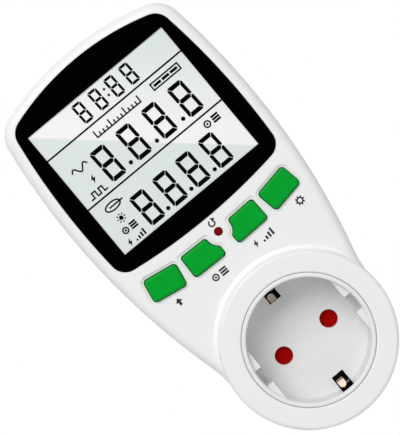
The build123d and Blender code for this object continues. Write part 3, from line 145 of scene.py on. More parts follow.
@dataclass(frozen=True)
class Finish:
    """A surface finish, with fine variation in its colour, gloss and relief.

    The pattern is in repeats per metre, and the mottle's stops are places on the noise.
    """

    name: str
    colour: Colour
    roughness: float = 0.45
    gloss_change: float = 0.06
    mottle: float = 0.03
    mottle_stops: tuple[float, float] = (0.35, 0.65)
    relief: float = 0.02
    relief_depth: float = 0.05 * MM
    pattern: float = 1500.0
    grain: Grain = Grain.EVEN
    metallic: float = 0.0
    coat: float = 0.0
    coat_roughness: float = 0.12
    specular: float = 0.5

    def shade(self, nodes: bpy.types.Nodes, links: bpy.types.NodeLinks) -> bpy.types.NodeSocket:
        """Make the colour with its slight mottling.

        Args:
            nodes: The material's nodes.
            links: The material's links.

        Returns:
            The socket that gives the colour.
        """
        noise = self.noise(nodes, links, Layer.MOTTLE)
        ramp = nodes.new("ShaderNodeValToRGB")
        base = linear(self.colour)
        for n, change in enumerate((-self.mottle, self.mottle)):
            tone = [min(1.0, max(0.0, c * (1 + change))) for c in base[:3]]
            ramp.color_ramp.elements[n].color = (*tone, 1.0)
            ramp.color_ramp.elements[n].position = self.mottle_stops[n]
        links.new(noise, ramp.inputs["Fac"])
        return ramp.outputs["Color"]

    def noise(
        self, nodes: bpy.types.Nodes, links: bpy.types.NodeLinks, layer: Layer
    ) -> bpy.types.NodeSocket:
        """Make a noise pattern fixed to the piece.

        Args:
            nodes: The material's nodes.
            links: The material's links.
            layer: Which of the finish's layers it is.

        Returns:
            The socket that gives the pattern's value.
        """
        share, detail = layer.value
        place = nodes.new("ShaderNodeTexCoord")
        turn = nodes.new("ShaderNodeMapping")
        turn.inputs["Scale"].default_value = self.grain.value
        noise = nodes.new("ShaderNodeTexNoise")
        noise.inputs["Scale"].default_value = self.pattern * share
        noise.inputs["Detail"].default_value = detail
        links.new(place.outputs["Object"], turn.inputs["Vector"])
        links.new(turn.outputs["Vector"], noise.inputs["Vector"])
        return noise.outputs["Fac"]

    def make(self) -> bpy.types.Material:
        """Build the material.

        Returns:
            The finished material.
        """
        material = bpy.data.materials.new(self.name)
        material.use_nodes = True
        nodes, links = material.node_tree.nodes, material.node_tree.links
        shader = nodes["Principled BSDF"]
        shader.inputs["Metallic"].default_value = self.metallic
        shader.inputs["Coat Weight"].default_value = self.coat
        shader.inputs["Coat Roughness"].default_value = self.coat_roughness
        shader.inputs["Specular IOR Level"].default_value = self.specular
        links.new(self.shade(nodes, links), shader.inputs["Base Color"])
        gloss = nodes.new("ShaderNodeMapRange")
        gloss.inputs["To Min"].default_value = max(0.0, self.roughness - self.gloss_change)
        gloss.inputs["To Max"].default_value = min(1.0, self.roughness + self.gloss_change)
        links.new(self.noise(nodes, links, Layer.GLOSS), gloss.inputs["Value"])
        links.new(gloss.outputs["Result"], shader.inputs["Roughness"])
        bump = nodes.new("ShaderNodeBump")
        bump.inputs["Strength"].default_value = self.relief
        bump.inputs["Distance"].default_value = self.relief_depth
        links.new(self.noise(nodes, links, Layer.RELIEF), bump.inputs["Height"])
        links.new(bump.outputs["Normal"], shader.inputs["Normal"])
        return material


@dataclass(frozen=True)
class Metal(Finish):
    """A bare metal's finish."""

    metallic: float = 1.0


@dataclass(frozen=True)
class FilmWithPaintedReflection(Finish):
    """The panel's pale film, with a slanting painted reflection in its colour.

    The painted reflection's edge runs from start to end over the screen. Across it, the film's own
    colour ends at below, the painted reflection is full from above to full, and it fades to far
    from there. Those three are shares of twice the fade, and the edge is at one half.
    """

    painted_reflection: Colour = (255, 255, 255)
    far: Colour = (229, 238, 232)
    start: Point = (-27.3, 107.0)
    end: Point = (26.5, 59.0)
    fade: float = 34.0
    below: float = 0.497
    above: float = 0.503
    full: float = 0.57

    def shade(self, nodes: bpy.types.Nodes, links: bpy.types.NodeLinks) -> bpy.types.NodeSocket:
        """Make the film's colour, lighter above the painted reflection's edge and fading from
        there.

        Args:
            nodes: The material's nodes.
            links: The material's links.

        Returns:
            The socket that gives the colour.
        """
        run = Vector((self.end[0] - self.start[0], self.end[1] - self.start[1])).normalized()
        across = Vector((-run.y, run.x))
        place = nodes.new("ShaderNodeTexCoord")
        height = nodes.new("ShaderNodeVectorMath")
        height.operation = "DOT_PRODUCT"
        height.inputs[1].default_value = (across.x / MM, 0.0, across.y / MM)
        links.new(place.outputs["Object"], height.inputs[0])
        edge = across.dot(Vector(self.start))
        share = nodes.new("ShaderNodeMapRange")
        share.inputs["From Min"].default_value = edge - self.fade
        share.inputs["From Max"].default_value = edge + self.fade
        links.new(height.outputs["Value"], share.inputs["Value"])
        # Painted reflection: the colour is lighter above the edge and fades to far beyond it
        ramp = nodes.new("ShaderNodeValToRGB")
        low, high = linear(self.colour), linear(self.painted_reflection)
        stops = ramp.color_ramp.elements
        stops[0].position = 0.0
        stops[0].color = low
        stops[1].position = self.below
        stops[1].color = low
        for position, tone in ((self.above, high), (self.full, high), (1.0, linear(self.far))):
            stops.new(position).color = tone
        links.new(share.outputs["Result"], ramp.inputs["Fac"])
        return ramp.outputs["Color"]


@dataclass(frozen=True)
class ClearFinish:
    """A clear pane: it shows what is behind it and mirrors a little, more at a slant.

    The bend is its index of refraction, and the shine is the colour of what it mirrors.
    """

    name: str
    tint: Colour = (255, 255, 255)
    bend: float = 1.07
    shine: Colour = (92, 92, 92)
    roughness: float = 0.0

    def make(self) -> bpy.types.Material:
        """Build the material.

        Returns:
            The finished material.
        """
        material = bpy.data.materials.new(self.name)
        material.use_nodes = True
        nodes, links = material.node_tree.nodes, material.node_tree.links
        nodes.remove(nodes["Principled BSDF"])
        through = nodes.new("ShaderNodeBsdfTransparent")
        through.inputs["Color"].default_value = linear(self.tint)
        mirror = nodes.new("ShaderNodeBsdfGlossy")
        mirror.inputs["Color"].default_value = linear(self.shine)
        mirror.inputs["Roughness"].default_value = self.roughness
        share = nodes.new("ShaderNodeFresnel")
        share.inputs["IOR"].default_value = self.bend
        mix = nodes.new("ShaderNodeMixShader")
        links.new(share.outputs["Fac"], mix.inputs[0])
        links.new(through.outputs["BSDF"], mix.inputs[1])
        links.new(mirror.outputs["BSDF"], mix.inputs[2])
        links.new(mix.outputs["Shader"], nodes["Material Output"].inputs["Surface"])
        return material


AnyFinish = Finish | ClearFinish

# The finishes of the added pieces and the floor
# The collar's foot: the case plastic made lighter as a painted highlight; its lower roughness is
# real gloss
SWEEP_PAINTED_HIGHLIGHT = Finish("collar foot plastic with painted highlight", (249, 249, 249), 0.25, mottle=0.004, relief=0.03)
# The carrier's own black, also used for the sheets of painted shade in the earth slots
CARRIER_BLACK_AND_SLOT_SHADE = Finish("carrier black plastic", (9, 8, 8), 0.55, mottle=0.1, specular=0.06)
SEGMENT_INK = Finish("screen segment black", (5, 6, 5), 0.7, mottle=0.1, specular=0.0)
SIGN_INK = Finish("sign print charcoal", (38, 38, 40), 0.6, mottle=0.06, specular=0.2)
# The screen cover's film, with a slanting painted reflection in its colour
PANEL_FILM_PAINTED_REFLECTION = FilmWithPaintedReflection("panel front film with painted reflection", (232, 240, 235), 0.4, mottle=0.0, specular=0.2)
PALE_FLOOR = Finish("pale floor", (238, 238, 238), 0.7, mottle=0.01)

# The finish of each material slot of the record
FINISHES: dict[str, AnyFinish] = {
    "white_case": Finish("white case plastic", (240, 240, 240), 0.42, mottle=0.008, relief=0.05),
    "clear_lens": ClearFinish("clear lens"),
    "black_print": Finish("black window print", (2, 2, 2), 0.6, mottle=0.2, specular=0.0),
    "panel_glass": ClearFinish("panel glass", (244, 250, 247), 1.3),
    "panel_grey": Finish("panel backing", (214, 222, 216), 0.5, mottle=0.02),
    "white_frame": Finish("frame white plastic", (225, 226, 222), 0.5, mottle=0.02),
    "black_rubber": Finish("connector rubber", (26, 26, 27), 0.8, mottle=0.1, relief=0.2),
    "board_green": Finish("board lacquer", (24, 92, 48), 0.25, mottle=0.12, relief=0.08, coat=0.4),
    "screw_steel": Metal(
        "plated screw steel", (190, 190, 192), 0.3, grain=Grain.ALONG_Y, relief=0.1
    ),
    "key_green": Finish("key green plastic", (0, 162, 46), 0.3, relief=0.05, specular=0.06),
    "button_red": Finish(
        "button dark red plastic", (136, 4, 6), 0.4, mottle=0.05, relief=0.03, specular=0.03
    ),
    "switch_black": Finish("switch black plastic", (34, 34, 36), 0.5, mottle=0.06, relief=0.06),
    "plunger_tan": Finish("plunger tan plastic", (168, 132, 92), 0.5, mottle=0.04),
    "resin_black": Finish("cast black resin", (20, 20, 22), 0.3, mottle=0.08, relief=0.06),
    "can_metal": Metal("drawn can metal", (196, 198, 200), 0.28, relief=0.06),
    "white_cup": Finish("socket white plastic", (234, 234, 235), 0.36, mottle=0.008, relief=0.04),
    "shutter_red": Finish(
        "shutter red plastic", (176, 2, 3), 0.3, mottle=0.04, relief=0.03, specular=0.03
    ),
    "spring_steel": Metal("spring steel", (180, 181, 184), 0.25),
    "black_carrier": CARRIER_BLACK_AND_SLOT_SHADE,
    "contact_brass": Metal("contact brass", (206, 170, 96), 0.3, grain=Grain.ALONG_Y, relief=0.08),
    "plated_pins": Metal(
        "nickel plated pin", (205, 203, 196), 0.22, grain=Grain.ALONG_Y, relief=0.1
    ),
    "earth_metal": Metal(
        "nickel plated strip", (156, 144, 130), 0.33, grain=Grain.ALONG_Y, relief=0.08
    ),
    "lead_brown": Finish("brown lead sleeve", (98, 52, 28), 0.5, mottle=0.05, relief=0.05),
    "lead_blue": Finish("blue lead sleeve", (34, 74, 168), 0.5, mottle=0.05, relief=0.05),
    "shunt_alloy": Metal("shunt alloy", (186, 140, 104), 0.35, grain=Grain.ALONG_X),
    "film_yellow": Finish("capacitor yellow case", (214, 176, 44), 0.35, mottle=0.04, relief=0.04),
    "varistor_blue": Finish("varistor blue coating", (38, 84, 168), 0.3, mottle=0.06, relief=0.12),
    "capacitor_sleeve": Finish("capacitor sleeve", (24, 28, 48), 0.25, mottle=0.06, coat=0.5),
    "resistor_grey": Finish("resistor grey lacquer", (140, 140, 136), 0.4, mottle=0.06),
    "cell_steel": Metal("cell steel", (198, 198, 200), 0.25, relief=0.06),
}


@dataclass
class Palette:
    """The materials, each made once."""

    made: dict[str, bpy.types.Material] = field(default_factory=dict)

    def get(self, finish: AnyFinish) -> bpy.types.Material:
        """Give a finish's material.

        Args:
            finish: The finish wanted.

        Returns:
            Its material, made at its first use.
        """
        if finish.name not in self.made:
            self.made[finish.name] = finish.make()
        return self.made[finish.name]


def prism(mesh: bmesh.types.BMesh, near: list[Place], far: list[Place]) -> None:
    """Add a solid between two outlines that have the same number of corners.

    Args:
        mesh: The mesh that takes it.
        near: One outline, in metres.
        far: The other outline.
    """
    rings = [[mesh.verts.new(corner) for corner in ring] for ring in (near, far)]
    mesh.faces.new(rings[0])
    mesh.faces.new(rings[1][::-1])
    count = len(near)
    for n in range(count):
        after = (n + 1) % count
        mesh.faces.new((rings[0][n], rings[1][n], rings[1][after], rings[0][after]))


@dataclass
class Workshop:
    """Makes pieces, dresses them and puts them on their body."""

    palette: Palette
    pieces: list[str] = field(default_factory=list)

    def add(
        self, name: str, mesh: bmesh.types.BMesh, finish: AnyFinish, body: str, slot: str
    ) -> bpy.types.Object:
        """Turn a mesh into a piece of the object.

        Args:
            name: The piece's name.
            mesh: Its mesh, in metres in the shared frame.
            finish: Its finish.
            body: The body that it rides on.
            slot: The record's material slot; not used.

        Returns:
            The new object.
        """
        bmesh.ops.recalc_face_normals(mesh, faces=mesh.faces)
        data = bpy.data.meshes.new(name)
        mesh.to_mesh(data)
        mesh.free()
        data.materials.append(self.palette.get(finish))
        piece = bpy.data.objects.new(name, data)
        bpy.context.scene.collection.objects.link(piece)
        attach(piece, body)
        self.pieces.append(name)
        log.info("made %s: %d faces on %s", name, len(data.polygons), body)
        return piece

    def plates(
        self,
        name: str,
        polygons: list[Polygon],
        finish: AnyFinish,
        slot: str,
        front: float,
        back: float,
    ) -> bpy.types.Object:
        """Make flat plates that face the front.

        Args:
            name: The piece's name.
            polygons: The plates' outlines.
            finish: Their finish.
            slot: The record's material slot.
            front: The Y of their front face, in metres.
            back: The Y of their back face, in metres.

        Returns:
            The new object, which rides on the housing.
        """
        mesh = bmesh.new()
        for outline in polygons:
            near, far = ([(x * MM, y, z * MM) for x, z in outline] for y in (front, back))
            prism(mesh, near, far)
        return self.add(name, mesh, finish, HOUSING, slot)


@dataclass
class Carried:
    """The CAD nodes that stay, each with its own finish."""

    nodes: dict[str, bpy.types.Object]
    record: dict
    palette: Palette

    def dress(self) -> None:
        """Give every CAD node the finish of its material slot."""
        for row in self.record["subparts"]:
            node = self.nodes[row["node"]]
            material = self.palette.get(FINISHES[row["material_slot"]])
            node.data.materials.clear()
            node.data.materials.append(material)
            log.info("dressed %s with %s", node.name, material.name)


def bar(x0: float, x1: float, z0: float, z1: float) -> Polygon:
    """Give an upright rectangle's corners.

    Args:
        x0: Its left edge.
        x1: Its right edge.
        z0: Its lower edge.
        z1: Its upper edge.

    Returns:
        Its four corners.
    """
    return [(x0, z0), (x1, z0), (x1, z1), (x0, z1)]


def mirrored(right: Polygon) -> Polygon:
    """Close an outline about X = 0 from its right half."""
    return right + [(-x, z) for x, z in reversed(right)]


def dot(x: float, z: float, radius: float, sides: int = 20) -> Polygon:
    """Give a round dot's outline.

    Args:
        x: Its centre across.
        z: Its centre up.
        radius: Its radius.
        sides: How many corners it has.

    Returns:
        Its outline.
    """
    turns = [2 * math.pi * n / sides for n in range(sides)]
    return [(x + radius * math.cos(a), z + radius * math.sin(a)) for a in turns]


def band(
    x: float, z: float, radius: float, width: float, start: float = 0.0, sweep: float = 360.0
) -> list[Polygon]:
    """Give a ring, or part of one, as short quadrilaterals.

    Args:
        x: Its centre across.
        z: Its centre up.
        radius: Its outer radius.
        width: How wide the ring's line is.
        start: The angle where it starts, in degrees.
        sweep: How far it goes round, in degrees.

    Returns:
        The quadrilaterals.
    """
    steps = max(RING_LEAST, round(sweep / RING_STEP))
    inner = radius - width
    edges: list[tuple[Point, Point]] = []
    for n in range(steps + 1):
        a = math.radians(start + sweep * n / steps)
        c, s = math.cos(a), math.sin(a)
        edges.append(((x + inner * c, z + inner * s), (x + radius * c, z + radius * s)))
    return [[a[0], a[1], b[1], b[0]] for a, b in zip(edges, edges[1:])]


def ribbon(points: Polygon, width: float, closed: bool = False) -> list[Polygon]:
    """Give a line of even width through points, with mitred corners.

    Args:
        points: The line's middle, point by point.
        width: The line's width.
        closed: True where the line comes back to its first point.

    Returns:
        One quadrilateral for each run.
    """
    middle = [Vector(p) for p in points]
    count = len(middle)
    sides: list[tuple[Point, Point]] = []
    for n, here in enumerate(middle):
        before = middle[n - 1] if n or closed else here
        after = middle[(n + 1) % count] if n < count - 1 or closed else here
        into = (here - before).normalized() if here != before else (after - here).normalized()
        out = (after - here).normalized() if here != after else into
        across = Vector((-into.y - out.y, into.x + out.x)).normalized()
        reach = width / 2 / max(MITRE_LEAST, across.dot(Vector((-into.y, into.x))))
        sides.append((tuple(here + across * reach), tuple(here - across * reach)))
    ends = sides[1:] + (sides[:1] if closed else [])
    return [[a[0], a[1], b[1], b[0]] for a, b in zip(sides, ends)]


class Sign(Enum):
    """The plain signs that take the place of words."""

    GAUGE = auto()
    SCALE = auto()
    WAVE = auto()
    PULSE = auto()
    BOLT = auto()
    COINS = auto()
    LEAF = auto()
    SUN = auto()
    STEPS = auto()
    RISE = auto()
    TURN = auto()
    GEAR = auto()


# A sign with its box's left, right, lower and upper edge
SignPlace = tuple[Sign, float, float, float, float]


@dataclass
class SignMaker:
    """Draws a plain sign inside a box, from shares of its line's width and half its height."""

    x0: float
    x1: float
    z0: float
    z1: float
    line: float = 0.5

    def draw(self, sign: Sign) -> list[Polygon]:
        """Draw a sign.

        Args:
            sign: The sign wanted.

        Returns:
            Its polygons.
        """
        ways = {
            Sign.GAUGE: self.gauge,
            Sign.SCALE: self.scale,
            Sign.WAVE: self.wave,
            Sign.PULSE: self.pulse,
            Sign.BOLT: self.bolt,
            Sign.COINS: self.coins,
            Sign.LEAF: self.leaf,
            Sign.SUN: self.sun,
            Sign.STEPS: self.steps,
            Sign.RISE: self.rise,
            Sign.TURN: self.turn,
            Sign.GEAR: self.gear,
        }
        return ways[sign]()

    @property
    def middle(self) -> Point:
        """The box's centre."""
        return (self.x0 + self.x1) / 2, (self.z0 + self.z1) / 2

    @property
    def half(self) -> float:
        """Half the box's height."""
        return (self.z1 - self.z0) / 2

    def gauge(self) -> list[Polygon]:
        """Draw a level gauge: a frame with filled blocks.

        Returns:
            The frame's sides and the blocks.
        """
        inset = self.line / 2
        frame = bar(self.x0 + inset, self.x1 - inset, self.z0 + inset, self.z1 - inset)
        room = self.line * 1.9
        block_run = 2.4 * self.half
        count = max(3, round((self.x1 - self.x0) / block_run))
        step = (self.x1 - self.x0 - 2 * room + self.line) / count
        blocks = [
            bar(
                self.x0 + room + n * step,
                self.x0 + room + (n + 1) * step - self.line,
                self.z0 + room,
                self.z1 - room,
            )
            for n in range(count)
        ]
        return ribbon(frame, self.line, True) + blocks

    def scale(self) -> list[Polygon]:
        """Draw a scale: a base line with a long tick at every fourth place.

        Returns:
            The ticks and the base line.
        """
        tick_run = 3.2 * self.line
        count = round((self.x1 - self.x0) / tick_run)
        step = (self.x1 - self.x0 - self.line) / count
        ticks = []
        for n in range(count + 1):
            x = self.x0 + n * step
            top = self.z1 if n % 4 == 0 else self.z0 + 1.1 * self.half
            ticks.append(bar(x, x + self.line, self.z0 + self.line, top))
        return ticks + [bar(self.x0, self.x1, self.z0, self.z0 + self.line)]

    def wave(self) -> list[Polygon]:
        """Draw one and a half turns of a smooth wave.

        Returns:
            The line's quadrilaterals.
        """
        rise = self.half - self.line / 2
        steps = 36
        x, z = self.x0, self.middle[1]
        run = (self.x1 - self.x0) / steps
        points = [
            (x + n * run, z + rise * math.sin(3 * math.pi * n / steps)) for n in range(steps + 1)
        ]
        return ribbon(points, self.line)

    def pulse(self) -> list[Polygon]:
        """Draw a square wave of five flat runs.

        Returns:
            The line's quadrilaterals.
        """
        low, high = self.z0 + self.line / 2, self.z1 - self.line / 2
        flats = 5
        step = (self.x1 - self.x0) / flats
        points = []
        for n in range(flats):
            z = high if n % 2 else low
            points += [(self.x0 + n * step, z), (self.x0 + (n + 1) * step, z)]
        return ribbon(points, self.line)

    def bolt(self) -> list[Polygon]:
        """Draw a lightning bolt.

        Returns:
            Its upper half, and the same turned half round.
        """
        x, z = self.middle
        h, w = self.half, self.half * 0.62
        overlap = 0.12 * h
        upper = [(x + 0.5 * w, z + h), (x - w, z - overlap), (x + 0.05 * w, z - overlap)]
        upper.append((x + 0.25 * w, z + overlap))
        return [upper, self.turned(upper)]

    def turned(self, points: Polygon) -> Polygon:
        """Turn points half round about the box's centre."""
        x, z = self.middle
        return [(2 * x - px, 2 * z - pz) for px, pz in points]

    def coins(self) -> list[Polygon]:
        """Draw a coin that stands up beside a stack of three.

        Returns:
            The stack, the standing coin's rim and its middle dot.
        """
        x, z = self.middle
        radius = self.half
        gap = self.line * 0.5
        tall = (2 * self.half - 2 * gap) / 3
        left, right = x + 0.35 * radius, x + 0.35 * radius + 2 * (radius * 1.05)
        lows = [self.z0 + n * (tall + gap) for n in range(3)]
        stack = [bar(left, right, low, low + tall) for low in lows]
        centre = x - 1.25 * radius
        return stack + band(centre, z, radius, self.line) + [dot(centre, z, self.line * 0.75)]

    def leaf(self) -> list[Polygon]:
        """Draw a leaf's outline with its rib and stalk.

        Returns:
            The outline's quadrilaterals and the rib.
        """
        x, z = self.middle
        length, rise, steps = self.half * 1.9, self.half * 0.9, 10
        stalk = 1.2
        turns = [math.pi * n / steps for n in range(1, steps)]
        upper = [(x - length * math.cos(a), z + rise * math.sin(a)) for a in turns]
        edge = [(x - length, z), *upper, (x + length, z), *self.turned(upper)]
        rib = [(x - 0.5 * length, z), (x + length + stalk, z)]
        return ribbon(edge, self.line, True) + ribbon(rib, self.line)

    def spokes(self, near: float, width: float) -> list[Polygon]:
        """Draw eight short lines that point outwards, as far as half the box's height.

        Args:
            near: How far from the centre they start.
            width: Their width.

        Returns:
            The lines.
        """
        x, z = self.middle
        far = self.half
        lines = []
        for n in range(8):
            a = math.pi * n / 4
            c, s = math.cos(a), math.sin(a)
            lines += ribbon([(x + near * c, z + near * s), (x + far * c, z + far * s)], width)
        return lines

    def sun(self) -> list[Polygon]:
        """Draw a disc with rays."""
        rays = self.spokes(0.66 * self.half, self.line * 0.8)
        return rays + [dot(*self.middle, 0.46 * self.half)]

    def steps(self) -> list[Polygon]:
        """Draw bars that rise from left to right.

        Returns:
            The bars.
        """
        count = 4
        step = (self.x1 - self.x0 + self.line) / count
        rise = (self.z1 - self.z0) / count
        return [
            bar(
                self.x0 + n * step,
                self.x0 + (n + 1) * step - self.line,
                self.z0,
                self.z0 + (n + 1) * rise,
            )
            for n in range(count)
        ]

    def rise(self) -> list[Polygon]:
        """Draw an arrow that points up.

        Returns:
            Its head and its shaft.
        """
        x, z = self.middle
        h = self.half
        neck = z - 0.05 * h
        shaft = 0.36 * h
        return [
            [(x - h, neck), (x + h, neck), (x, z + h)],
            bar(x - shaft, x + shaft, z - h, neck),
        ]

    def turn(self) -> list[Polygon]:
        """Draw an arrow that goes most of the way round.

        Returns:
            Its line's quadrilaterals and its head.
        """
        x, z = self.middle
        radius = self.half
        head_turn = math.radians(60)
        px = x + (radius - self.line / 2) * math.cos(head_turn)
        pz = z + (radius - self.line / 2) * math.sin(head_turn)
        wide, long = 1.7 * self.line, 2.5 * self.line
        head = [(px, pz + wide), (px, pz - wide), (px + long, pz)]
        return band(x, z, radius, self.line, 100, 270) + [head]

    def gear(self) -> list[Polygon]:
        """Draw a toothed wheel."""
        line = self.line * 0.95
        return self.spokes(0.68 * self.half, line) + band(*self.middle, 0.74 * self.half, line)


def draw_signs(places: tuple[SignPlace, ...], line: float) -> list[Polygon]:
    """Draw signs, each in its own box.

    Args:
        places: The signs with their boxes.
        line: The width of their lines.

    Returns:
        The polygons of all the signs.
    """
    return [p for sign, *box in places for p in SignMaker(*box, line).draw(sign)]


@dataclass
class DigitRow:
    """A row of seven-segment figures with its points.

    The upright segments are as wide as upright and the level ones as high as level. The
    shares, of those two sizes, shape the segments' ends.
    """

    centres: tuple[float, ...]
    bottom: float
    top: float
    width: float
    upright: float
    level: float
    points: tuple[Point, ...]
    point_radius: float
    lean: float = 0.04
    gap: float = 0.1
    corner_share: float = 0.6
    shoulder_share: float = 0.3
    foot_share: float = 0.4

    @property
    def half(self) -> float:
        """Half a figure's width."""
        return self.width / 2

    @property
    def rise(self) -> float:
        """Half a figure's height."""
        return (self.top - self.bottom) / 2

    @property
    def cut(self) -> float:
        """How much is cut off a figure's corners."""
        return self.upright * self.corner_share

    def figure(self, centre: float) -> list[Polygon]:
        """Draw one figure with every segment lit.

        Args:
            centre: Its centre across.

        Returns:
            Its seven segments.
        """
        middle = (self.bottom + self.top) / 2
        segments = [self.waist()]
        for way in (-1, 1):
            segments.append([(x, way * z) for x, z in self.end_segment()])
            for side in (-1, 1):
                segments.append([(side * x, way * z) for x, z in self.side_segment()])
        return [[(centre + x - z * self.lean, middle + z) for x, z in s] for s in segments]

    def end_segment(self) -> Polygon:
        """Draw the top segment, about the figure's middle.

        Returns:
            Its outline.
        """
        half, rise, cut = self.half, self.rise, self.cut
        right = [
            (half - cut, rise),
            (half - cut / 2 - self.gap, rise - cut / 2),
            (half - self.upright - self.gap, rise - self.level),
        ]
        return mirrored(right)

    def side_segment(self) -> Polygon:
        """Draw the upper right segment, about the figure's middle.

        Returns:
            Its outline.
        """
        half, rise, cut = self.half, self.rise, self.cut
        return [
            (half - cut / 2, rise - cut / 2 - self.gap),
            (half, rise - cut),
            (half, self.shoulder_share * self.level),
            (half - self.foot_share * self.upright, self.gap),
            (half - self.upright, self.level / 2 + self.gap),
            (half - self.upright, rise - self.level - self.gap),
        ]

    def waist(self) -> Polygon:
        """Draw the middle segment, about the figure's middle.

        Returns:
            Its outline.
        """
        tip = self.half - 0.5 * self.upright - self.gap
        inner = self.half - self.upright - self.gap
        thick = self.level / 2
        return mirrored([(inner, thick), (tip, 0.0), (inner, -thick)])

    def draw(self) -> list[Polygon]:
        """Draw the whole row.

        Returns:
            Its figures and points.
        """
        made = [p for c in self.centres for p in self.figure(c)]
        return made + [dot(x, z, self.point_radius) for x, z in self.points]


@dataclass
class Screen:
    """The pale cover of the panel and what it shows: lines, figures and plain signs.

    The cover reaches past the mask's window by the margin, and starts the cover's set behind
    the mask. The marks float in front of it by the lift.
    """

    shop: Workshop
    lift: float = 0.02 * MM
    thick: float = 0.04 * MM
    cover_set: float = 0.15 * MM
    half_width: float = 27.9
    bottom: float = 58.55
    top: float = 107.4
    margin: float = 0.2
    sign_line: float = 0.5
    line_width: float = 0.57
    lines: tuple[float, ...] = (97.5, 77.05)
    rows: tuple[DigitRow, ...] = (
        DigitRow(
            centres=(-9.1, -2.5, 4.2, 10.4),
            bottom=98.8,
            top=106.2,
            width=3.6,
            upright=0.84,
            level=0.88,
            points=((1.0, 103.8), (1.0, 101.4)),
            point_radius=0.42,
        ),
        DigitRow(
            centres=(-13.2, -2.5, 8.3, 19.2),
            bottom=78.7,
            top=90.8,
            width=5.9,
            upright=1.22,
            level=1.5,
            points=((-7.4, 80.2), (3.5, 80.2), (14.5, 80.2)),
            point_radius=0.72,
        ),
        DigitRow(
            centres=(-12.6, -3.05, 6.5, 16.1),
            bottom=59.9,
            top=71.6,
            width=5.9,
            upright=1.2,
            level=1.45,
            points=((-7.6, 61.2), (2.1, 61.2), (11.9, 61.2)),
            point_radius=0.7,
        ),
    )
    signs: tuple[SignPlace, ...] = (
        (Sign.GAUGE, 13.0, 24.6, 92.9, 95.7),
        (Sign.SCALE, -10.7, 7.8, 92.9, 95.7),
        (Sign.WAVE, -24.4, -18.2, 87.8, 90.4),
        (Sign.BOLT, -21.8, -18.4, 82.4, 85.4),
        (Sign.PULSE, -25.0, -18.2, 78.4, 80.8),
        (Sign.COINS, 17.5, 24.5, 72.6, 75.2),
        (Sign.LEAF, -24.4, -17.2, 71.7, 74.7),
        (Sign.SUN, -23.0, -19.4, 66.9, 70.1),
        (Sign.COINS, -24.6, -17.8, 63.2, 65.6),
        (Sign.BOLT, -25.2, -22.8, 59.2, 61.9),
        (Sign.STEPS, -22.0, -18.0, 59.4, 61.7),
    )

    def build(self) -> None:
        """Fill the window up to the mask, and lay the black marks on that cover."""
        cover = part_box("lens_mask")[1].y + self.cover_set
        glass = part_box("lcd_front_glass")[0].y
        outline = self.cover_outline()
        # The cover's colour holds a painted reflection, a slanting light band
        self.shop.plates("screen_cover", [outline], PANEL_FILM_PAINTED_REFLECTION, "panel_glass", cover, glass)
        front, back = cover - self.lift - self.thick, cover - self.lift
        slot = "black_print"
        for n, row in enumerate(self.rows):
            self.shop.plates(f"screen_figures_{n + 1}", row.draw(), SEGMENT_INK, slot, front, back)
        half = self.line_width / 2
        lines = [bar(-self.half_width, self.half_width, z - half, z + half) for z in self.lines]
        self.shop.plates("screen_lines", lines, SEGMENT_INK, slot, front, back)
        signs = draw_signs(self.signs, self.sign_line)
        self.shop.plates("screen_signs", signs, SEGMENT_INK, slot, front, back)

    def cover_outline(self) -> Polygon:
        """Draw the cover's outline, a rectangle with small cut corners.

        Returns:
            The outline.
        """
        half, cut = self.half_width + self.margin, self.margin
        low, high = self.bottom - self.margin, self.top + self.margin
        right = [(half - cut, low), (half, low + cut), (half, high - cut), (half - cut, high)]
        return mirrored(right)


@dataclass
class CasePrint:
    """The plain signs printed beside the keys, half sunk in the face."""

    shop: Workshop
    rise: float = 0.015 * MM
    sign_line: float = 0.52
    signs: tuple[SignPlace, ...] = (
        (Sign.TURN, -1.3, 1.3, 47.2, 49.7),
        (Sign.RISE, -25.6, -22.6, 34.5, 37.1),
        (Sign.COINS, -11.8, -5.2, 33.0, 35.5),
        (Sign.BOLT, 5.4, 8.2, 32.9, 35.8),
        (Sign.STEPS, 9.2, 13.6, 33.0, 35.6),
        (Sign.GEAR, 24.9, 28.1, 34.4, 37.6),
    )

    def build(self) -> None:
        """Print the signs on the front shell's face."""
        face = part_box("lens_window")[0].y - LENS_SET * MM
        front, back = face - self.rise, face + self.rise
        signs = draw_signs(self.signs, self.sign_line)
        self.shop.plates("case_signs", signs, SIGN_INK, "black_print", front, back)


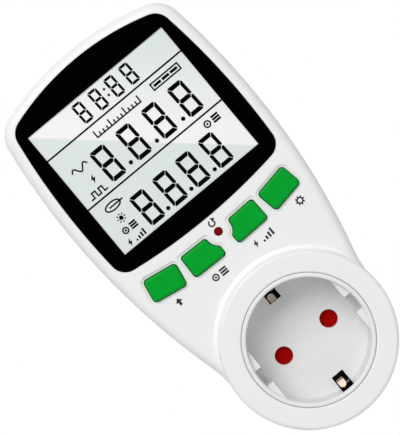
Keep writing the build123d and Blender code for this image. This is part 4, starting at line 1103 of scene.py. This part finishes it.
@dataclass
class SlotShadeSheets:
    """Black sheets of painted shade in the earth slots, over the socket's floor and wall.

    Each slot is twice the half wide. From inner to wall it cuts the floor, and from wall to
    outer it cuts the wall, up to the top. The end plate stops short of the side plates by
    the slack.
    """

    shop: Workshop
    half: float = 2.23
    thick: float = 0.12
    slack: float = 0.01
    inner: float = 15.62
    wall: float = 20.14
    outer: float = 21.55
    top_y: float = -50.9
    floor_y: float = -35.45
    back_y: float = -33.1

    def build(self) -> None:
        """Put the sheets of painted shade in both slots."""
        steps = [
            (self.inner, self.floor_y),
            (self.wall, self.floor_y),
            (self.wall, self.top_y),
            (self.outer, self.top_y),
            (self.outer, self.back_y),
            (self.inner, self.back_y),
        ]
        end = bar(self.inner, self.inner + self.thick, self.floor_y, self.back_y)
        reach = self.half - self.thick - self.slack
        for name, side in (("upper_slot_painted_shade", 1), ("lower_slot_painted_shade", -1)):
            mesh = bmesh.new()
            for way in (-1, 1):
                x0, x1 = way * (self.half - self.thick), way * self.half
                self.plate(mesh, [(side * r, y) for r, y in steps], x0, x1)
            self.plate(mesh, [(side * r, y) for r, y in end], -reach, reach)
            # Black sheets over the slots' white walls: painted shade where the slots lie in shadow
            self.shop.add(name, mesh, CARRIER_BLACK_AND_SLOT_SHADE, HOUSING, "black_carrier")

    def plate(self, mesh: bmesh.types.BMesh, outline: Polygon, x0: float, x1: float) -> None:
        """Add an upright plate.

        Args:
            mesh: The mesh that takes it.
            outline: Its outline, as Z and Y.
            x0: One side's X.
            x1: The other side's X.
        """
        near, far = ([(x * MM, y * MM, z * MM) for z, y in outline] for x in (x0, x1))
        prism(mesh, near, far)


@dataclass
class CollarSweep:
    """The concave sweep where the collar rises from the face.

    It shrinks between the fade's angle and the neck's, where the collar leaves the face. It
    reaches into the collar by the root and into the face by the sink.
    """

    shop: Workshop
    radius: float = 28.9
    size: float = 1.7
    least_share: float = 0.02
    root: float = 0.3
    sink: float = 0.2
    neck_angle: float = 20.0
    fade_angle: float = 32.0
    steps: int = 96
    curve: int = 8

    def build(self) -> None:
        """Build the sweep over the part of the collar that stands on the face."""
        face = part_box("lens_window")[0].y / MM - LENS_SET
        mesh = bmesh.new()
        span = 180 - 2 * self.neck_angle
        angles = [self.neck_angle + span * n / self.steps for n in range(self.steps + 1)]
        rings = [self.ring(mesh, angle, face) for angle in angles]
        for first, second in zip(rings, rings[1:]):
            for n in range(len(first)):
                after = (n + 1) % len(first)
                mesh.faces.new((first[n], first[after], second[after], second[n]))
        mesh.faces.new(rings[0])
        mesh.faces.new(rings[-1][::-1])
        # The sweep's lighter colour is a painted highlight along the collar's foot
        piece = self.shop.add("collar_sweep", mesh, SWEEP_PAINTED_HIGHLIGHT, HOUSING, "white_case")
        piece.data.shade_smooth()

    def ring(self, mesh: bmesh.types.BMesh, angle: float, face: float) -> list[bmesh.types.BMVert]:
        """Add the corners of the sweep's section at one place round the collar.

        Args:
            mesh: The mesh that takes them.
            angle: The place, in degrees from the right.
            face: The face's Y.

        Returns:
            The corners.
        """
        from_end = min(angle, 180 - angle) - self.neck_angle
        share = min(1.0, from_end / (self.fade_angle - self.neck_angle))
        size = self.size * max(self.least_share, share * share * (3 - 2 * share))
        inner = self.radius - self.root
        profile = [(inner, face - size), *self.arc(size, face)]
        profile += [(self.radius + size, face + self.sink), (inner, face + self.sink)]
        a = math.radians(angle)
        c, s = math.cos(a), math.sin(a)
        return [mesh.verts.new((r * c * MM, y * MM, r * s * MM)) for r, y in profile]

    def arc(self, size: float, face: float) -> list[Point]:
        """Give the concave arc's points.

        Args:
            size: The arc's radius here.
            face: The face's Y.

        Returns:
            Points from the collar's wall down to the face.
        """
        made = []
        for n in range(self.curve + 1):
            a = math.pi / 2 * n / self.curve
            made.append((self.radius + size * (1 - math.cos(a)), face - size * (1 - math.sin(a))))
        return made


@dataclass(frozen=True)
class Lamp:
    """A square soft lamp aimed at the object, in metres and watts."""

    name: str
    place: Place
    energy: float
    size: float = 0.6
    aim: Place = (0.0, -0.04, 0.04)

    def build(self) -> None:
        """Place the lamp."""
        data = bpy.data.lights.new(self.name, "AREA")
        data.energy = self.energy
        data.size = self.size
        lamp = bpy.data.objects.new(self.name, data)
        bpy.context.scene.collection.objects.link(lamp)
        place = Vector(self.place)
        lamp.location = place
        lamp.rotation_mode = "QUATERNION"
        lamp.rotation_quaternion = (Vector(self.aim) - place).to_track_quat("-Z", "Y")


@dataclass
class Studio:
    """The camera, the light and the floor.

    The camera looks straight at the front along the line at axis_x and axis_z, from the
    distance before the collar's rim, and is rolled by the turn, in degrees. The floor's
    lengths are in metres.
    """

    axis_x: float = -1.69
    axis_z: float = 52.32
    distance: float = 700.0
    turn: float = 39.8
    lens: float = 181.5
    sensor: float = 36.0
    near_clip: float = 10 * MM
    ambient: float = 0.44
    lamps: tuple[Lamp, ...] = (
        Lamp("key_lamp", (-0.07, -0.86, 0.64), 6.3),
        Lamp("back_lamp", (0.0, 1.0, 0.1), 4.2),
    )
    floor_half: float = 0.22
    floor_y: float = -0.03
    floor_drop: float = 0.09

    def camera(self) -> None:
        """Place the camera as the photograph was taken."""
        data = bpy.data.cameras.new("camera")
        data.lens = self.lens
        data.sensor_width = self.sensor
        data.clip_start = self.near_clip
        view = bpy.data.objects.new("camera", data)
        bpy.context.scene.collection.objects.link(view)
        a = math.radians(self.turn)
        right, up = Vector((math.cos(a), 0, -math.sin(a))), Vector((math.sin(a), 0, math.cos(a)))
        turn = Matrix((right, up, Vector((0, -1, 0)))).transposed()
        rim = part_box("front_shell")[0].y
        place = Vector((self.axis_x * MM, rim - self.distance * MM, self.axis_z * MM))
        view.matrix_world = Matrix.Translation(place) @ turn.to_4x4()
        bpy.context.scene.camera = view
        log.info("camera at %s", tuple(round(c, 4) for c in place))

    def world(self) -> None:
        """Make an even soft light that looks white where it is seen or mirrored."""
        world = bpy.data.worlds.new("studio")
        world.use_nodes = True
        nodes, links = world.node_tree.nodes, world.node_tree.links
        path = nodes.new("ShaderNodeLightPath")
        seen = path.outputs["Is Camera Ray"]
        for ray in ("Is Transmission Ray", "Is Glossy Ray"):
            either = nodes.new("ShaderNodeMath")
            either.operation = "MAXIMUM"
            links.new(seen, either.inputs[0])
            links.new(path.outputs[ray], either.inputs[1])
            seen = either.outputs["Value"]
        soft, white = nodes["Background"], nodes.new("ShaderNodeBackground")
        for light, strength in ((soft, self.ambient), (white, 1.0)):
            light.inputs["Color"].default_value = WHITE_LIGHT
            light.inputs["Strength"].default_value = strength
        mix = nodes.new("ShaderNodeMixShader")
        links.new(seen, mix.inputs[0])
        links.new(soft.outputs["Background"], mix.inputs[1])
        links.new(white.outputs["Background"], mix.inputs[2])
        links.new(mix.outputs["Shader"], nodes["World Output"].inputs["Surface"])
        bpy.context.scene.world = world

    def floor(self) -> None:
        """Lay a small pale floor under the object."""
        mesh = bmesh.new()
        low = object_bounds()[0].z - self.floor_drop
        outline = bar(-self.floor_half, self.floor_half, -self.floor_half, self.floor_half)
        mesh.faces.new([mesh.verts.new((x, y + self.floor_y, low)) for x, y in outline])
        data = bpy.data.meshes.new("floor")
        mesh.to_mesh(data)
        mesh.free()
        data.materials.append(PALE_FLOOR.make())
        piece = bpy.data.objects.new("floor", data)
        bpy.context.scene.collection.objects.link(piece)
        piece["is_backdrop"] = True

    def build(self) -> None:
        """Set up the whole studio."""
        self.camera()
        self.world()
        for lamp in self.lamps:
            lamp.build()
        self.floor()
        bpy.context.scene.view_settings.view_transform = "Standard"


def main() -> None:
    """Build the looks in order."""
    logging.basicConfig(level=logging.INFO, format="%(name)s: %(message)s")
    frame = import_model()
    palette = Palette()
    shop = Workshop(palette)
    Carried(frame["nodes"], frame["record"], palette).dress()
    Screen(shop).build()
    CasePrint(shop).build()
    CollarSweep(shop).build()
    SlotShadeSheets(shop).build()
    Studio().build()
    log.info("%d pieces added", len(shop.pieces))


if __name__ == "__main__":
    main()
